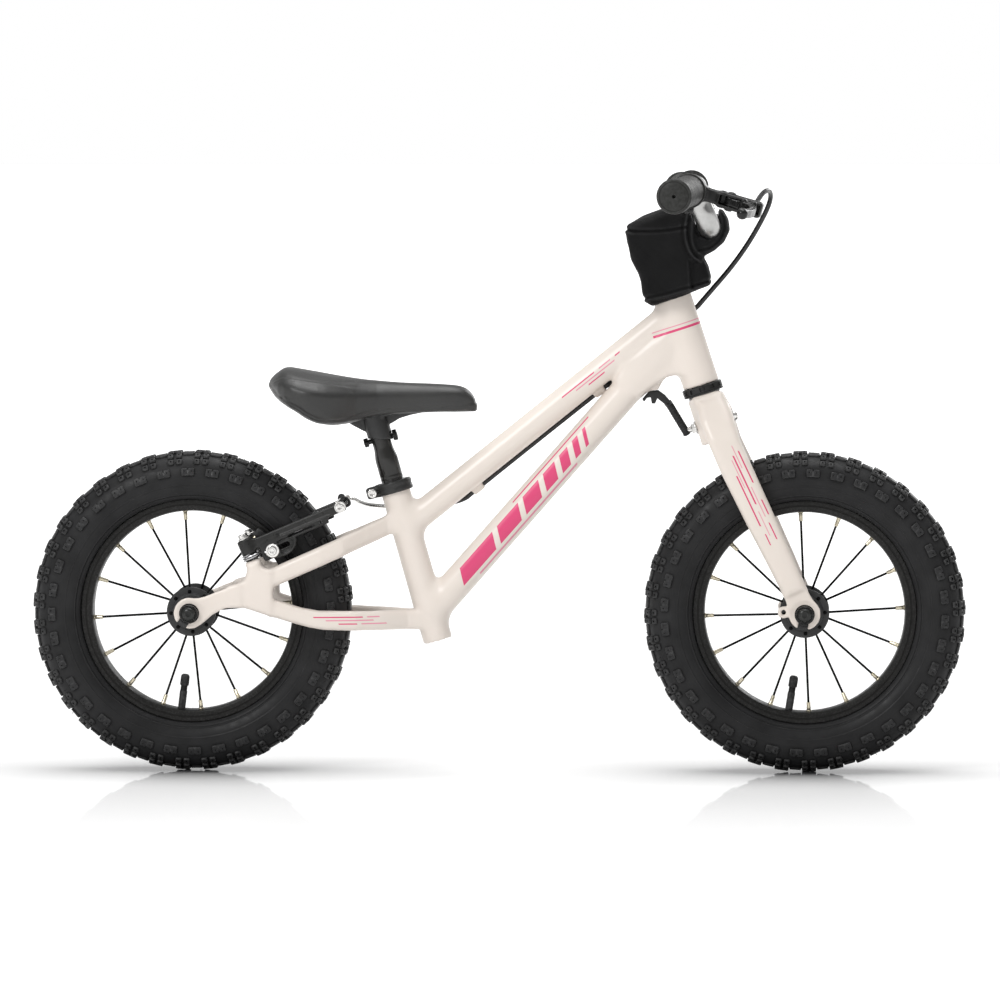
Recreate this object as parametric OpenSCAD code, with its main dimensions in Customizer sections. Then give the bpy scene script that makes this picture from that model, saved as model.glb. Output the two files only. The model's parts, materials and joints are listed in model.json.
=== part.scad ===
// Balance bike for a small child: 12 inch wheels, rear rim brake, adjustable saddle.
// +X is forward, +Y is the rider's left, +Z is up. Origin on the ground, halfway between the axles.

/* [Wheels] */
// Distance between the front and rear axles
wheelbase = 600; // [596:1:606]
// Outer radius of the inflated tyre
tyre_r = 157.5; // [156:0.5:158]
// Width of the tyre
tyre_w = 57; // [52:1:58]
// Outer radius of the rim flange
rim_r = 109; // [108.5:0.5:109.5]
// Outer width of the rim
rim_w = 30; // [28:1:30]
// Number of spokes in a wheel
spokes_n = 16; // [12:4:20]
// Radius of the hub flanges
flange_r = 24; // [23:0.5:25]

/* [Frame] */
// Outer radius of the head tube
head_r = 18; // [17.8:0.1:18.5]
// Length of the head tube
head_len = 92; // [90:1:94]
// Outer radius of the top tube
top_r = 13; // [12.5:0.5:13.5]
// Outer radius of the down tube
down_r = 15.2; // [15:0.1:15.5]
// Outer radius of the seat tube
seat_r = 14.3; // [14:0.1:14.5]
// Wall thickness of the main tubes
wall = 2; // [1.6:0.1:2.4]
// Clear width between the rear dropouts
rear_old = 95; // [95:1:97]

/* [Fork] */
// Clear width between the fork dropouts
front_old = 80; // [80:1:81]
// Radius of the steerer
steerer_r = 12.7; // [12.5:0.1:12.9]
// Radius of the threaded mudguard eyelets
eyelet_r = 2.5; // [2:0.1:2.6]

/* [Cockpit] */
// Radius of the handlebar tube
bar_r = 11.1; // [11:0.1:11.2]
// Backward sweep of the grips in degrees
bar_sweep = 6.5; // [6:0.5:8]
// Length of a grip
grip_len = 104; // [98:1:108]

/* [Saddle] */
// Radius of the seat post
post_r = 11.1; // [10.9:0.1:11.1]
// Width of the saddle at its widest
saddle_w = 142; // [136:1:150]

/* [Brake] */
// Distance between the centre plane and a brake boss
boss_y = 40; // [40:0.5:41]
// Gap between a brake pad and the rim at rest
pad_gap = 2.4; // [2.4:0.1:3]

/* [Hidden] */
$fn = 64;
e = 0.01;

hub_f = [wheelbase / 2, 0, tyre_r];
hub_r = [-wheelbase / 2, 0, tyre_r];

// Steering axis: starts at the lower end of the head tube and leans back.
steer_o = [198.5, 0, 379];
steer_tilt = 18;
// Seat tube axis: starts inside the frame and leans back.
seat_o = [-78.5, 0, 195];
seat_tilt = 15.8;
// Top tube and down tube axes, as start point, slope in degrees and length.
top_o = [-91, 0, 239.4];
top_a = 38.6;
top_len = 345;
down_o = [-67, 0, 154.8];
down_a = 48.7;
down_len = 378;
// Brake boss axis: leans back, and the arms point forwards and up from it.
boss_o = [-237.5, 0, 207];
boss_tilt = 22.9;
// Handlebar: middle of the stem clamp and inner end of the straight grip section.
clamp_s = 143;
clamp_p = 56;
bar_c = [207.6, 0, 532.3];
bar_g = [191.5, -66, 571.8];
bar_drop = 1.8;

cream = [0.93, 0.89, 0.86];
black = [0.09, 0.09, 0.09];
rubber = [0.16, 0.16, 0.17];
steel = [0.72, 0.72, 0.72];
brass = [0.72, 0.66, 0.5];

// Places children in the steering frame: Z up the axis, X forwards from it.
module steer() { translate(steer_o) rotate([0, -steer_tilt, 0]) children(); }
module seatax() { translate(seat_o) rotate([0, -seat_tilt, 0]) children(); }
module topax() { translate(top_o) rotate([0, 90 - top_a, 0]) children(); }
module downax() { translate(down_o) rotate([0, 90 - down_a, 0]) children(); }
// Places children at a brake boss: Z out along the boss, X along the arm.
module bossax(side) { translate([boss_o[0], side * boss_y, boss_o[2]]) rotate([0, -boss_tilt, 0]) children(); }
// Places children on the right grip: Z outwards, X forwards, Y up.
module gripax() { translate(bar_g) rotate([90 + bar_drop, 0, -bar_sweep]) children(); }
// The same, turned so that X runs down the lever's plane.
module leverax() { gripax() rotate([0, 0, -16]) children(); }
module mirror_y() { mirror([0, 1, 0]) children(); }
// A prism of an outline in the XZ plane, between two Y values.
module side(pts, y0, y1) { translate([0, y1, 0]) rotate([90, 0, 0]) linear_extrude(y1 - y0) polygon(pts); }
// A prism of an outline in the YZ plane, between two X values.
module front(pts, x0, x1) { translate([x0, 0, 0]) rotate([90, 0, 90]) linear_extrude(x1 - x0) polygon(pts); }
// A prism of an outline in the XY plane.
module plan(pts, z0, z1) { translate([0, 0, z0]) linear_extrude(z1 - z0) polygon(pts); }
module ring(r1, r0, h) { difference() { cylinder(r = r1, h = h); translate([0, 0, -1]) cylinder(r = r0, h = h + 2); } }

// ---- swept tubes -------------------------------------------------------
function cat(p, n, i) = p[max(0, min(n - 1, i))];
function spline(p, i, t) = let (n = len(p), a = cat(p, n, i - 1), b = cat(p, n, i), c = cat(p, n, i + 1), d = cat(p, n, i + 2))
  0.5 * (2 * b + (c - a) * t + (2 * a - 5 * b + 4 * c - d) * t * t + (3 * b - a - 3 * c + d) * t * t * t);
function along(p, k) = concat([for (i = [0 : len(p) - 2]) for (j = [0 : k - 1]) spline(p, i, j / k)], [p[len(p) - 1]]);
function unit(v) = v / norm(v);
function dir(c, i) = let (n = len(c)) unit(c[min(n - 1, i + 1)] - c[max(0, i - 1)]);
module tube(p, r, k = 3, s = 8, up = [0.3, 0.9, 0.1]) {
  c = along(p, k);
  n = len(c);
  pts = [for (i = [0 : n - 1]) let (d = dir(c, i), a = unit(cross(d, up)), b = cross(d, a)) for (j = [0 : s - 1]) c[i] + r * (cos(360 * j / s) * a + sin(360 * j / s) * b)];
  faces = concat([[for (j = [0 : s - 1]) j]], [[for (j = [s - 1 : -1 : 0]) (n - 1) * s + j]],
    [for (i = [0 : n - 2]) for (j = [0 : s - 1]) [i * s + j, (i + 1) * s + j, (i + 1) * s + (j + 1) % s, i * s + (j + 1) % s]]);
  polyhedron(points = pts, faces = faces, convexity = 6);
}

// ---- frame -------------------------------------------------------------
module head_solid() { steer() cylinder(r = head_r, h = head_len); }
module seat_solid() { seatax() translate([0, 0, -70]) cylinder(r = seat_r, h = 162); }
module down_solid() { downax() cylinder(r = down_r, h = down_len); }

module head_tube() { color(cream) steer() ring(head_r, 15, head_len); }

module seat_tube() { color(cream) seatax() translate([0, 0, -70]) ring(seat_r, post_r + 0.05, 162); }

// The down tube's box section thickens the joint behind the head tube.
module down_tube() {
  color(cream) difference() {
    union() {
      down_solid();
      side([[138, 366], [165, 387], [190, 393], [178, 440], [150, 420], [120, 388]], -12, 12);
      side([[147, 373], [156.5, 374.2], [162, 386], [150, 382]], -6, 6);
    }
    downax() translate([0, 0, -1]) cylinder(r = down_r - wall, h = down_len + 2);
    head_solid();
    steer() translate([0, 0, -20]) cylinder(r = 15.5, h = 140);
    seat_solid();
    seatax() translate([-60, -30, -90]) cube([60, 60, 200]);
    steer() translate([0, -30, -20]) cube([60, 60, 160]);
  }
}

module guide(x, z) {
  translate([x, 0, z]) rotate([0, -top_a, 0]) difference() {
    union() {
      translate([-6.5, 6, 0]) rotate([0, 90, 0]) cylinder(r = 3.9, h = 13);
      translate([-5, 3.5, 0]) cube([10, 5, 8]);
    }
    translate([-8, 6, 0]) rotate([0, 90, 0]) cylinder(r = 2.7, h = 16);
  }
}

module top_tube() {
  color(cream) difference() {
    union() {
      difference() {
        topax() cylinder(r = top_r, h = top_len);
        topax() translate([0, 0, -1]) cylinder(r = top_r - wall, h = top_len + 2);
      }
      difference() {
        union() { guide(99, 371.6); guide(-20, 276.6); }
        topax() translate([0, 0, -1]) cylinder(r = top_r - wall, h = top_len + 2);
      }
    }
    head_solid();
    steer() translate([0, 0, -20]) cylinder(r = 15.5, h = 140);
    steer() translate([0, -30, -20]) cube([60, 60, 160]);
    seat_solid();
    seatax() translate([-60, -30, -90]) cube([60, 60, 200]);
    down_solid();
    side([[138, 366], [165, 387], [190, 393], [178, 440], [150, 420], [120, 388]], -12, 12);
  }
}

// Side and plan outlines of the stays on the right.
seat_stay_side = [[-222, 181], [-104, 232.8], [-90, 240], [-96, 262], [-109, 253], [-113, 249.5], [-222, 200.8]];
seat_stay_plan = [[-230, -50], [-172, -49], [-150, -44], [-126, -26], [-108, -14], [-90, -11], [-90, -4], [-110, -5], [-126, -14], [-146, -30], [-162, -35], [-230, -36]];
chain_stay_side = [[-222, 154.5], [-200, 147.8], [-184, 143.5], [-170, 141], [-143, 140], [-62, 139], [-70, 159], [-174, 160], [-191, 163], [-210, 169], [-222, 172.5]];
chain_stay_plan = [[-230, -50], [-165, -49], [-138, -45], [-112, -32], [-88, -16], [-62, -12], [-62, -4], [-84, -4], [-104, -13], [-128, -29], [-150, -34.5], [-230, -36]];

module seat_stay() { difference() { intersection() { side(seat_stay_side, -60, 0); plan(seat_stay_plan, 100, 300); } seat_solid(); } }
module chain_stay() { difference() { intersection() { side(chain_stay_side, -60, 0); plan(chain_stay_plan, 100, 300); } seat_solid(); down_solid(); } }
module seat_stay_right() { color(cream) seat_stay(); }
module seat_stay_left() { color(cream) mirror_y() seat_stay(); }
module chain_stay_right() { color(cream) chain_stay(); }
module chain_stay_left() { color(cream) mirror_y() chain_stay(); }

// Yoke plate: joins both stays, carries the brake boss and ends in the open axle slot.
module dropout() {
  hy = hub_r[2];
  ro = rear_old / 2;
  difference() {
    union() {
      side([[-294, 172], [-285, 174], [-273, 179], [-262, 183.5], [-262, 163.5], [-270, 160], [-277, 156], [-284, 150], [-290, 146]], -ro - 5, -ro);
      translate([hub_r[0], -ro, hy]) rotate([90, 0, 0]) cylinder(r = 15.3, h = 5);
      side([[-262, 183.5], [-252, 186.5], [-246, 191], [-243.5, 200], [-245.5, 206], [-232.5, 209], [-230, 203], [-222, 200.8], [-222, 154.5], [-240, 160.5], [-250, 163.5], [-262, 163.5]], -ro - 5, -36);
    }
    translate([hub_r[0], -ro + 1, hy]) rotate([90, 0, 0]) cylinder(r = 5.05, h = 8);
    translate([hub_r[0], -ro + 1, hy]) rotate([90, 0, 0]) rotate([0, 0, 237]) translate([0, -4.8, 0]) cube([20, 9.6, 8]);
    bossax(-1) translate([0, 0, -14]) cylinder(r = 4, h = 30);
  }
}
module dropout_right() { color(cream) dropout(); }
module dropout_left() { color(cream) mirror_y() dropout(); }

// Brake studs with the bolts that hold the arms on.
module pivot_bolt(side) {
  bossax(side) {
    translate([0, 0, -13]) cylinder(r = 4, h = 37.2);
    translate([0, 0, 24.2]) cylinder(r = 6.2, h = 1.2);
    translate([0, 0, 25.4]) cylinder(r = 4.6, h = 4.2);
  }
}
module arm_pivot_bolts() { color(steel) { pivot_bolt(-1); pivot_bolt(1); } }

module headset_cups() {
  color(black) steer() {
    rotate_extrude() polygon([[16.6, -8.5], [18.7, -8.5], [20, -6.5], [20, -2.5], [19, 0], [15, 0], [15, 8], [13.4, 8], [13.4, -1.5], [16.6, -1.5]]);
    translate([0, 0, head_len]) rotate_extrude() polygon([[13.4, -8], [15, -8], [15, 0], [19, 0], [19.5, 2], [19.5, 6], [18.5, 8], [16.6, 8], [16.6, 1.5], [13.4, 1.5]]);
  }
}
module headset_bearings() {
  color(steel) steer() {
    translate([0, 0, -8]) ring(16.6, steerer_r + 0.06, 6.5);
    translate([0, 0, head_len + 1.5]) ring(16.6, steerer_r + 0.06, 6);
  }
}

module seat_clamp() {
  color(black) seatax() difference() {
    union() {
      translate([0, 0, 81.5]) cylinder(r = 18, h = 11.5);
      translate([-28, -9, 81.5]) cube([16, 18, 11.5]);
    }
    translate([0, 0, 70]) cylinder(r = seat_r, h = 22);
    translate([0, 0, 90]) cylinder(r = post_r + 0.4, h = 10);
    translate([-30, -1, 70]) cube([30, 2, 30]);
    translate([-22, 20, 87]) rotate([90, 0, 0]) cylinder(r = 2.6, h = 40);
  }
}
module seat_clamp_bolt() {
  color(steel) seatax() translate([-22, 0, 87]) rotate([90, 0, 0]) {
    translate([0, 0, -9]) cylinder(r = 2.5, h = 18);
    difference() {
      translate([0, 0, 9]) cylinder(r = 4.5, h = 4.5);
      translate([0, 0, 11]) cylinder(r = 2.3, h = 4, $fn = 6);
    }
  }
}

module axle(old, c) {
  translate(c) rotate([90, 0, 0]) {
    translate([0, 0, -old / 2 - 16.5]) cylinder(r = 5, h = old + 33);
    for (m = [0, 1]) mirror([0, 0, m]) translate([0, 0, 32.5]) cylinder(r = 8.5, h = old / 2 - 32.5);
  }
}
module axle_nuts(old, c) {
  translate(c) rotate([90, 0, 0]) for (m = [0, 1]) mirror([0, 0, m]) translate([0, 0, old / 2 + 5]) difference() {
    union() {
      cylinder(r = 9.8, h = 1.8);
      translate([0, 0, 1.8]) cylinder(r = 8.6, h = 7);
      translate([0, 0, 8.8]) cylinder(r1 = 8, r2 = 6.4, h = 3.2);
    }
    translate([0, 0, -1]) cylinder(r = 5, h = 20);
  }
}
module rear_axle() { color(steel) axle(rear_old, hub_r); }
module rear_axle_nuts() { color(black) axle_nuts(rear_old, hub_r); }
module front_axle() { color(steel) axle(front_old, hub_f); }
module front_axle_nuts() { color(black) axle_nuts(front_old, hub_f); }

// Steering damper: a bent bracket under the down tube and a sleeved spring to the fork.
module damper_bracket() {
  color(black) side([[140.6, 365.5], [147, 373], [156.5, 374.2], [163, 369.5], [170, 361.5], [166.5, 357.5], [160, 362.5], [155.5, 366], [153.5, 361], [150, 361], [149, 367], [145.5, 366.5], [142.5, 362.5]], -5, 5);
}
damper_path = [[168.8, 0, 357.6], [173, 0, 350.6], [178, 0, 342.4], [182, 0, 335.8], [185.6, 0, 330]];
module damper_spring() { color(black) tube(damper_path, 4.1, 2, 12); }

// ---- brake cable -------------------------------------------------------
loop_path = [[249.68, -64.86, 555.5], [250.22, -60.1, 555.65], [250.79, -55.13, 555.8], [251.9, -48, 557.4], [254.2, -39, 561.6], [257.6, -29, 566.6], [261.6, -18.5, 570], [265.2, -8, 569.4], [266.4, 0, 563.4], [264.2, 5.4, 555.4], [260.6, 8.4, 547], [254.8, 11, 536], [246.4, 13, 521], [236, 15, 505.5], [223.6, 17.8, 489], [209, 21, 472.6], [195, 23.5, 456]];
housing_path = [[195, 23.5, 456], [184, 24, 446], [172, 23.5, 435], [158, 23, 422.5], [144, 22.5, 410], [130, 21, 398.5], [120, 17.5, 390], [112, 9.5, 382.4], [105.5, 6, 376.8], [99, 6, 371.6], [84, 6, 359.6], [50, 6, 332.5], [15, 6, 304.6], [-20, 6, 276.6], [-26, 6, 271.8], [-33, 9, 267.4], [-43, 15.8, 263.4], [-56, 19.8, 260.6], [-74, 20.5, 258.8], [-92, 21.5, 258], [-106, 24.5, 258]];
noodle_path = [[-106, 24.5, 258], [-118, 29.5, 258.2], [-130, 37, 259], [-139, 46, 261], [-144, 53, 263], [-150, 55.5, 265], [-154.5, 52, 266.4], [-156, 46.2, 266.6]];
module cable_loop() { color(black) tube(loop_path, 2.5, 2, 8, [1, -0.6, -0.6]); }
module cable_housing() { color(black) tube(housing_path, 2.5, 2); }
module cable_noodle() { color(steel) tube(noodle_path, 2.1, 2); }

// ---- fork --------------------------------------------------------------
module crown_solid() { steer() translate([0, 0, -57]) cylinder(r = 17.5, h = 45.7); }
module fork_steerer() {
  color(cream) steer() difference() {
    union() {
      translate([0, 0, -57]) cylinder(r = 17.5, h = 45.7);
      translate([0, 0, -12]) cylinder(r = steerer_r, h = 153);
      translate([0, 0, -12]) cylinder(r1 = 17, r2 = 15.5, h = 3.2);
    }
    translate([0, 0, -40]) cylinder(r = steerer_r - 2.4, h = 200);
    translate([0, 0, -60]) cylinder(r = 14.5, h = 21);
    translate([-30, 0, -38]) rotate([0, 90, 0]) cylinder(r = 3.05, h = 60);
  }
}
leg_side = [[192, 366], [219, 374.8], [228, 357], [237, 327], [246, 308], [269.5, 256.5], [290, 210.5], [302.5, 181.5], [281, 171.5], [261.3, 210.3], [243.4, 244.5], [218, 295.5], [207, 321], [198, 342]];
leg_front = [[-17, 374], [-27, 362], [-38, 346], [-46, 328], [-50, 308], [-51, 285], [-51, 210], [-49, 170], [-36, 170], [-35, 285], [-33.5, 306], [-28.5, 324], [-20, 338], [-13, 350], [-13, 374]];
module fork_leg() { difference() { intersection() { side(leg_side, -60, 0); front(leg_front, 150, 340); } steer() translate([0, 0, -70]) cylinder(r = 17.5, h = 100); } }
module fork_leg_right() { color(cream) fork_leg(); }
module fork_leg_left() { color(cream) mirror_y() fork_leg(); }

module fork_dropout() {
  fo = front_old / 2;
  difference() {
    union() {
      side([[281, 171.5], [302.5, 181.5], [309, 170], [314.5, 162], [300, 150], [288, 150], [286, 156], [283, 166]], -fo - 5, -fo);
      translate([hub_f[0], -fo, hub_f[2]]) rotate([90, 0, 0]) cylinder(r = 15.3, h = 5);
      translate([279.5, -fo, 159.6]) rotate([90, 0, 0]) cylinder(r = 6, h = 5);
    }
    translate([hub_f[0], -fo + 1, hub_f[2]]) rotate([90, 0, 0]) cylinder(r = 5.05, h = 8);
    translate([hub_f[0], -fo + 1, hub_f[2]]) rotate([90, 0, 0]) rotate([0, 0, 262]) translate([0, -4.8, 0]) cube([20, 9.6, 8]);
    translate([279.5, -fo + 1, 159.6]) rotate([90, 0, 0]) cylinder(r = eyelet_r, h = 8);
  }
}
module fork_dropout_right() { color(cream) fork_dropout(); }
module fork_dropout_left() { color(cream) mirror_y() fork_dropout(); }

module crown_bolt() {
  color(steel) steer() translate([0, 0, -38]) rotate([0, 90, 0]) {
    translate([0, 0, -22.6]) cylinder(r = 3, h = 42);
    translate([0, 0, 17.7]) cylinder(r = 6.4, h = 1);
    translate([0, 0, 18.7]) cylinder(r1 = 5.4, r2 = 3.4, h = 3.4);
    translate([0, 0, -22.4]) cylinder(r = 5.2, h = 4.7, $fn = 6);
  }
}

// ---- cockpit -----------------------------------------------------------
module stem() {
  color(black) steer() difference() {
    union() {
      translate([0, 0, 100.4]) cylinder(r = 17, h = 2.6);
      translate([0, 0, 103]) cylinder(r = 16.5, h = 38);
      translate([0, -14, 126]) cube([clamp_p - 8, 28, 15]);
      translate([clamp_p, 20, clamp_s]) rotate([90, 0, 0]) cylinder(r = 15.5, h = 40);
    }
    translate([0, 0, 90]) cylinder(r = steerer_r, h = 80);
    translate([clamp_p, 30, clamp_s]) rotate([90, 0, 0]) cylinder(r = bar_r + 0.05, h = 60);
    translate([24, -30, 132.7]) cube([clamp_p - 24, 60, 1.6]);
    for (y = [-8.5, 8.5]) translate([32, y, 120]) cylinder(r = 2.5, h = 30);
  }
}
module stem_bolts() {
  color(black) steer() for (y = [-8.5, 8.5]) translate([32, y, 122]) {
    cylinder(r = 4.2, h = 4);
    translate([0, 0, 4]) cylinder(r = 2.5, h = 14);
  }
}
module top_cap() {
  color(black) steer() {
    translate([0, 0, 141.2]) cylinder(r = 15.5, h = 3);
    translate([0, 0, 120]) cylinder(r = 3, h = 22);
    translate([0, 0, 143]) cylinder(r = 5, h = 3.4);
  }
}
// One half of the bar: level through the clamp, two bends of one radius up to the straight grip section.
bar_rise = 42.65;
bar_lean = 22.17;
module bar_bends() {
  R = bar_rise / 2;
  translate(bar_c) rotate([0, -bar_lean, 0]) {
    translate([0, 66 - bar_rise, R]) rotate([0, 90, 0]) rotate_extrude(angle = 90) translate([R, 0]) circle(r = bar_r + 0.2);
    translate([0, 66, R]) rotate([0, 90, 0]) rotate([0, 0, 180]) rotate_extrude(angle = 90) translate([R, 0]) circle(r = bar_r + 0.2);
  }
}
module bar_end() {
  gripax() sphere(r = bar_r + 0.9);
  gripax() cylinder(r = bar_r, h = 139.5);
}
module handlebar() {
  color(steel) difference() {
    union() {
      translate([bar_c[0], 25, bar_c[2]]) rotate([90, 0, 0]) cylinder(r = bar_r, h = 50);
      bar_end();
      mirror_y() bar_end();
      bar_bends();
      mirror_y() bar_bends();
    }
    gripax() translate([0, 0, 12]) cylinder(r = bar_r - 2, h = 140);
    mirror_y() gripax() translate([0, 0, 12]) cylinder(r = bar_r - 2, h = 140);
  }
}
module grip() {
  gripax() difference() {
    union() {
      translate([0, 0, 37]) cylinder(r = 17, h = 4);
      translate([0, 0, 40]) cylinder(r = 15.3, h = grip_len - 6);
      translate([0, 0, 34 + grip_len]) cylinder(r = 17, h = 9);
    }
    translate([0, 0, 30]) cylinder(r = bar_r, h = 110);
  }
}
module grip_right() { color(rubber) grip(); }
module grip_left() { color(rubber) mirror_y() grip(); }

module lever_body() {
  color(black) leverax() difference() {
    union() {
      translate([0, 0, 14]) cylinder(r = 15.5, h = 15);
      translate([8, -8, 14]) cube([64, 16, 15]);
      translate([60, 0, 6]) cylinder(r = 6, h = 9);
      translate([-5, -23, 14]) cube([9, 12, 15]);
    }
    translate([0, 0, 0]) cylinder(r = bar_r, h = 60);
    translate([-1, -30, 10]) cube([1.5, 26, 25]);
    translate([60, 0, 0]) cylinder(r = 3.6, h = 40);
    translate([30, -4.6, 16.1]) cube([40, 9.2, 20]);
    translate([40, 10, 22]) rotate([90, 0, 0]) cylinder(r = 2.55, h = 20);
  }
}
module barrel_adjuster() {
  color(black) leverax() translate([60, 0, 0]) difference() {
    union() {
      translate([0, 0, 6]) cylinder(r = 3.55, h = 10);
      translate([0, 0, 2]) cylinder(r = 6, h = 3.6);
      translate([0, 0, -8]) cylinder(r1 = 4.6, r2 = 5.4, h = 9.6);
      translate([0, 0, 1]) cylinder(r = 3.5, h = 6);
    }
    translate([0, 0, -9]) cylinder(r = 2.6, h = 12);
  }
}
// Lever blade with its pivot pin and a ball at the end.
module brake_lever() {
  color(black) leverax() {
    translate([40, 7.8, 22]) rotate([90, 0, 0]) cylinder(r = 2.5, h = 15.6);
    translate([40, 4.3, 22]) rotate([90, 0, 0]) cylinder(r = 5.5, h = 8.6);
    translate([0, 4.3, 0]) rotate([90, 0, 0]) linear_extrude(8.6) polygon([[37, 26], [36, 20], [42, 17.4], [62, 17.4], [66, 22], [66.5, 34], [68.5, 46], [70.5, 60], [71.5, 78], [70.5, 96], [67.6, 115], [60.6, 115], [63, 96], [64, 78], [63.5, 60], [61, 48], [57, 38], [48, 30]]);
    translate([64, 0, 117]) sphere(r = 5.6);
  }
}

// Padded cover round the stem, with a way through for the bar.
pad_side = [[151, 456.2], [171, 463.2], [192, 470.2], [207, 476], [209, 483], [207, 495], [203, 504.5], [213, 513.5], [224, 524], [226.5, 531], [224.5, 541], [220, 550], [212, 555.5], [196, 558.5], [176, 556.5], [158, 551.5], [140, 544.5], [127, 537.5], [124, 530], [125.5, 518], [130, 503], [137, 486.5], [141.5, 468], [144, 460]];
module handlebar_pad() {
  color(rubber) difference() {
    side(pad_side, -37, 37);
    steer() translate([0, 0, 80]) cylinder(r = 20.2, h = 64.5);
    steer() translate([0, 0, 140]) cylinder(r = 18, h = 9);
    steer() translate([0, -18, 100]) cube([clamp_p + 13, 36, 45]);
    steer() translate([clamp_p - 18, -22, clamp_s - 27]) cube([36, 44, 44]);
    side([[192.5, 521], [205, 516], [219, 527], [218, 543], [213, 560], [188, 562]], -50, 50);
  }
}

// ---- wheels ------------------------------------------------------------
// A wheel is turned about the Y axis; outlines are in radius and sideways distance.
module turned(c, pts) { translate(c) rotate([90, 0, 0]) rotate_extrude($fn = 96) polygon(pts); }
function tyre_out(n) = [for (i = [0 : n]) let (a = -115 + 230 * i / n) [131 + (tyre_r - 131) * cos(a) * (cos(a) > 0 ? 1 : 1.55), tyre_w / 2 * sin(a)]];
module tyre(c) {
  b = rim_r + 0.3;
  o = concat([[103.5, -12.8], [b, -13.3], [b, -15.8]], tyre_out(22), [[b, 15.8], [b, 13.3], [103.5, 12.8]]);
  i = [[103.5, 11], [112, 11.5], [117, 20], [125, 25], [134, 25.2], [143, 22], [150, 14], [153, 5], [153, -5], [150, -14], [143, -22], [134, -25.2], [125, -25], [117, -20], [112, -11.5], [103.5, -11]];
  turned(c, concat(o, i));
}
module rim(c, va) {
  w = rim_w / 2;
  difference() {
    turned(c, [[rim_r, -w], [rim_r, -w + 1.3], [103, -w + 1.9], [102.5, -w + 2.4], [101, -8], [99.7, -7], [99.7, 7], [101, 8], [102.5, w - 2.4], [103, w - 1.9], [rim_r, w - 1.3], [rim_r, w], [99.5, w], [97.6, w - 6], [97.6, -w + 6], [99.5, -w]]);
    translate(c) rotate([0, -va, 0]) translate([92, 0, 0]) rotate([0, 90, 0]) cylinder(r = 4.75, h = 10.5);
  }
}
module inner_tube(c, va) {
  translate(c) difference() {
    union() {
      rotate([90, 0, 0]) rotate_extrude($fn = 96) polygon([for (a = [7.5 : 15 : 352.5]) [129 + 19.5 * cos(a), 19.5 * sin(a)]]);
      rotate([0, 90 - va, 0]) translate([0, 0, 64]) cylinder(r = 3.9, h = 50);
    }
    rotate([90, 0, 0]) rotate_extrude($fn = 96) polygon([for (a = [7.5 : 15 : 352.5]) [129 + 17.5 * cos(a), 17.5 * sin(a)]]);
    rotate([0, 90 - va, 0]) translate([0, 0, 60]) cylinder(r = 1.6, h = 62);
  }
}
module hub(c) {
  translate(c) rotate([90, 0, 0]) difference() {
    union() {
      translate([0, 0, -27]) cylinder(r = 13.5, h = 54);
      for (m = [0, 1]) mirror([0, 0, m]) {
        translate([0, 0, 24.5]) cylinder(r = flange_r, h = 3.2);
        translate([0, 0, 27]) cylinder(r1 = 18, r2 = 15.5, h = 5);
      }
    }
    translate([0, 0, -40]) cylinder(r = 6.5, h = 80);
    for (m = [0, 1]) mirror([0, 0, m]) {
      translate([0, 0, 25]) cylinder(r = 12.5, h = 20);
      for (k = [0 : spokes_n / 2 - 1]) rotate([0, 0, k * 720 / spokes_n + (m == 0 ? 0 : 360 / spokes_n) + 180 / spokes_n]) translate([flange_r - 4.2, 0, 20]) cylinder(r = 1.3, h = 20);
    }
  }
}
module bearings(c) {
  translate(c) rotate([90, 0, 0]) for (m = [0, 1]) mirror([0, 0, m]) translate([0, 0, 25]) ring(12.5, 5.05, 6.8);
}
// One spoke with its nipple: from the inside of a flange to the rim.
module spoke(m, a) {
  rotate([0, 0, a]) {
    z0 = (m == 0 ? 1 : -1) * 23.4;
    z1 = (m == 0 ? 1 : -1) * 2.5;
    r0 = flange_r - 5.5;
    r1 = 97.2;
    L = norm([r1 - r0, z1 - z0]);
    translate([r0, 0, z0]) rotate([0, atan2(r1 - r0, z1 - z0), 0]) {
      cylinder(r = 1, h = L - 9);
      translate([0, 0, L - 9]) cylinder(r = 1.9, h = 8.6);
    }
  }
}
module spokes(c, a0) {
  translate(c) rotate([90, 0, 0]) for (k = [0 : spokes_n - 1]) spoke(k % 2, a0 + k * 360 / spokes_n);
}

module front_tyre() { color(rubber) tyre(hub_f); }
module front_inner_tube() { color(black) inner_tube(hub_f, 261); }
module front_rim() { color(black) rim(hub_f, 261); }
module front_hub() { color(black) hub(hub_f); }
module front_spokes() { color(black) spokes(hub_f, 2.5); }
module front_bearings() { color(steel) bearings(hub_f); }
module rear_tyre() { color(rubber) tyre(hub_r); }
module rear_inner_tube() { color(black) inner_tube(hub_r, 263); }
module rear_rim() { color(black) rim(hub_r, 263); }
module rear_hub() { color(black) hub(hub_r); }
module rear_spokes() { color(black) spokes(hub_r, 4.5); }
module rear_bearings() { color(steel) bearings(hub_r); }

// ---- brake arms --------------------------------------------------------
// In the boss frame: X along the arm, Y sideways (inwards is positive on the right), Z along the boss.
module arm_r() {
  bossax(-1) difference() {
    union() {
      translate([0, 0, 2.4]) cylinder(r = 7, h = 7);
      translate([0, 0, 9]) cylinder(r = 8, h = 15);
      translate([0, -4.5, 12]) cube([104, 9, 9.5]);
      translate([10, -4.5, -4]) cube([22, 8, 18]);
    }
    translate([0, 0, 0]) cylinder(r = 4.06, h = 30);
    translate([14, -10, 0.2]) cube([12, 20, 6.6]);
    translate([99, 10, 17]) rotate([90, 0, 0]) cylinder(r = 2.6, h = 20);
  }
}
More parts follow.
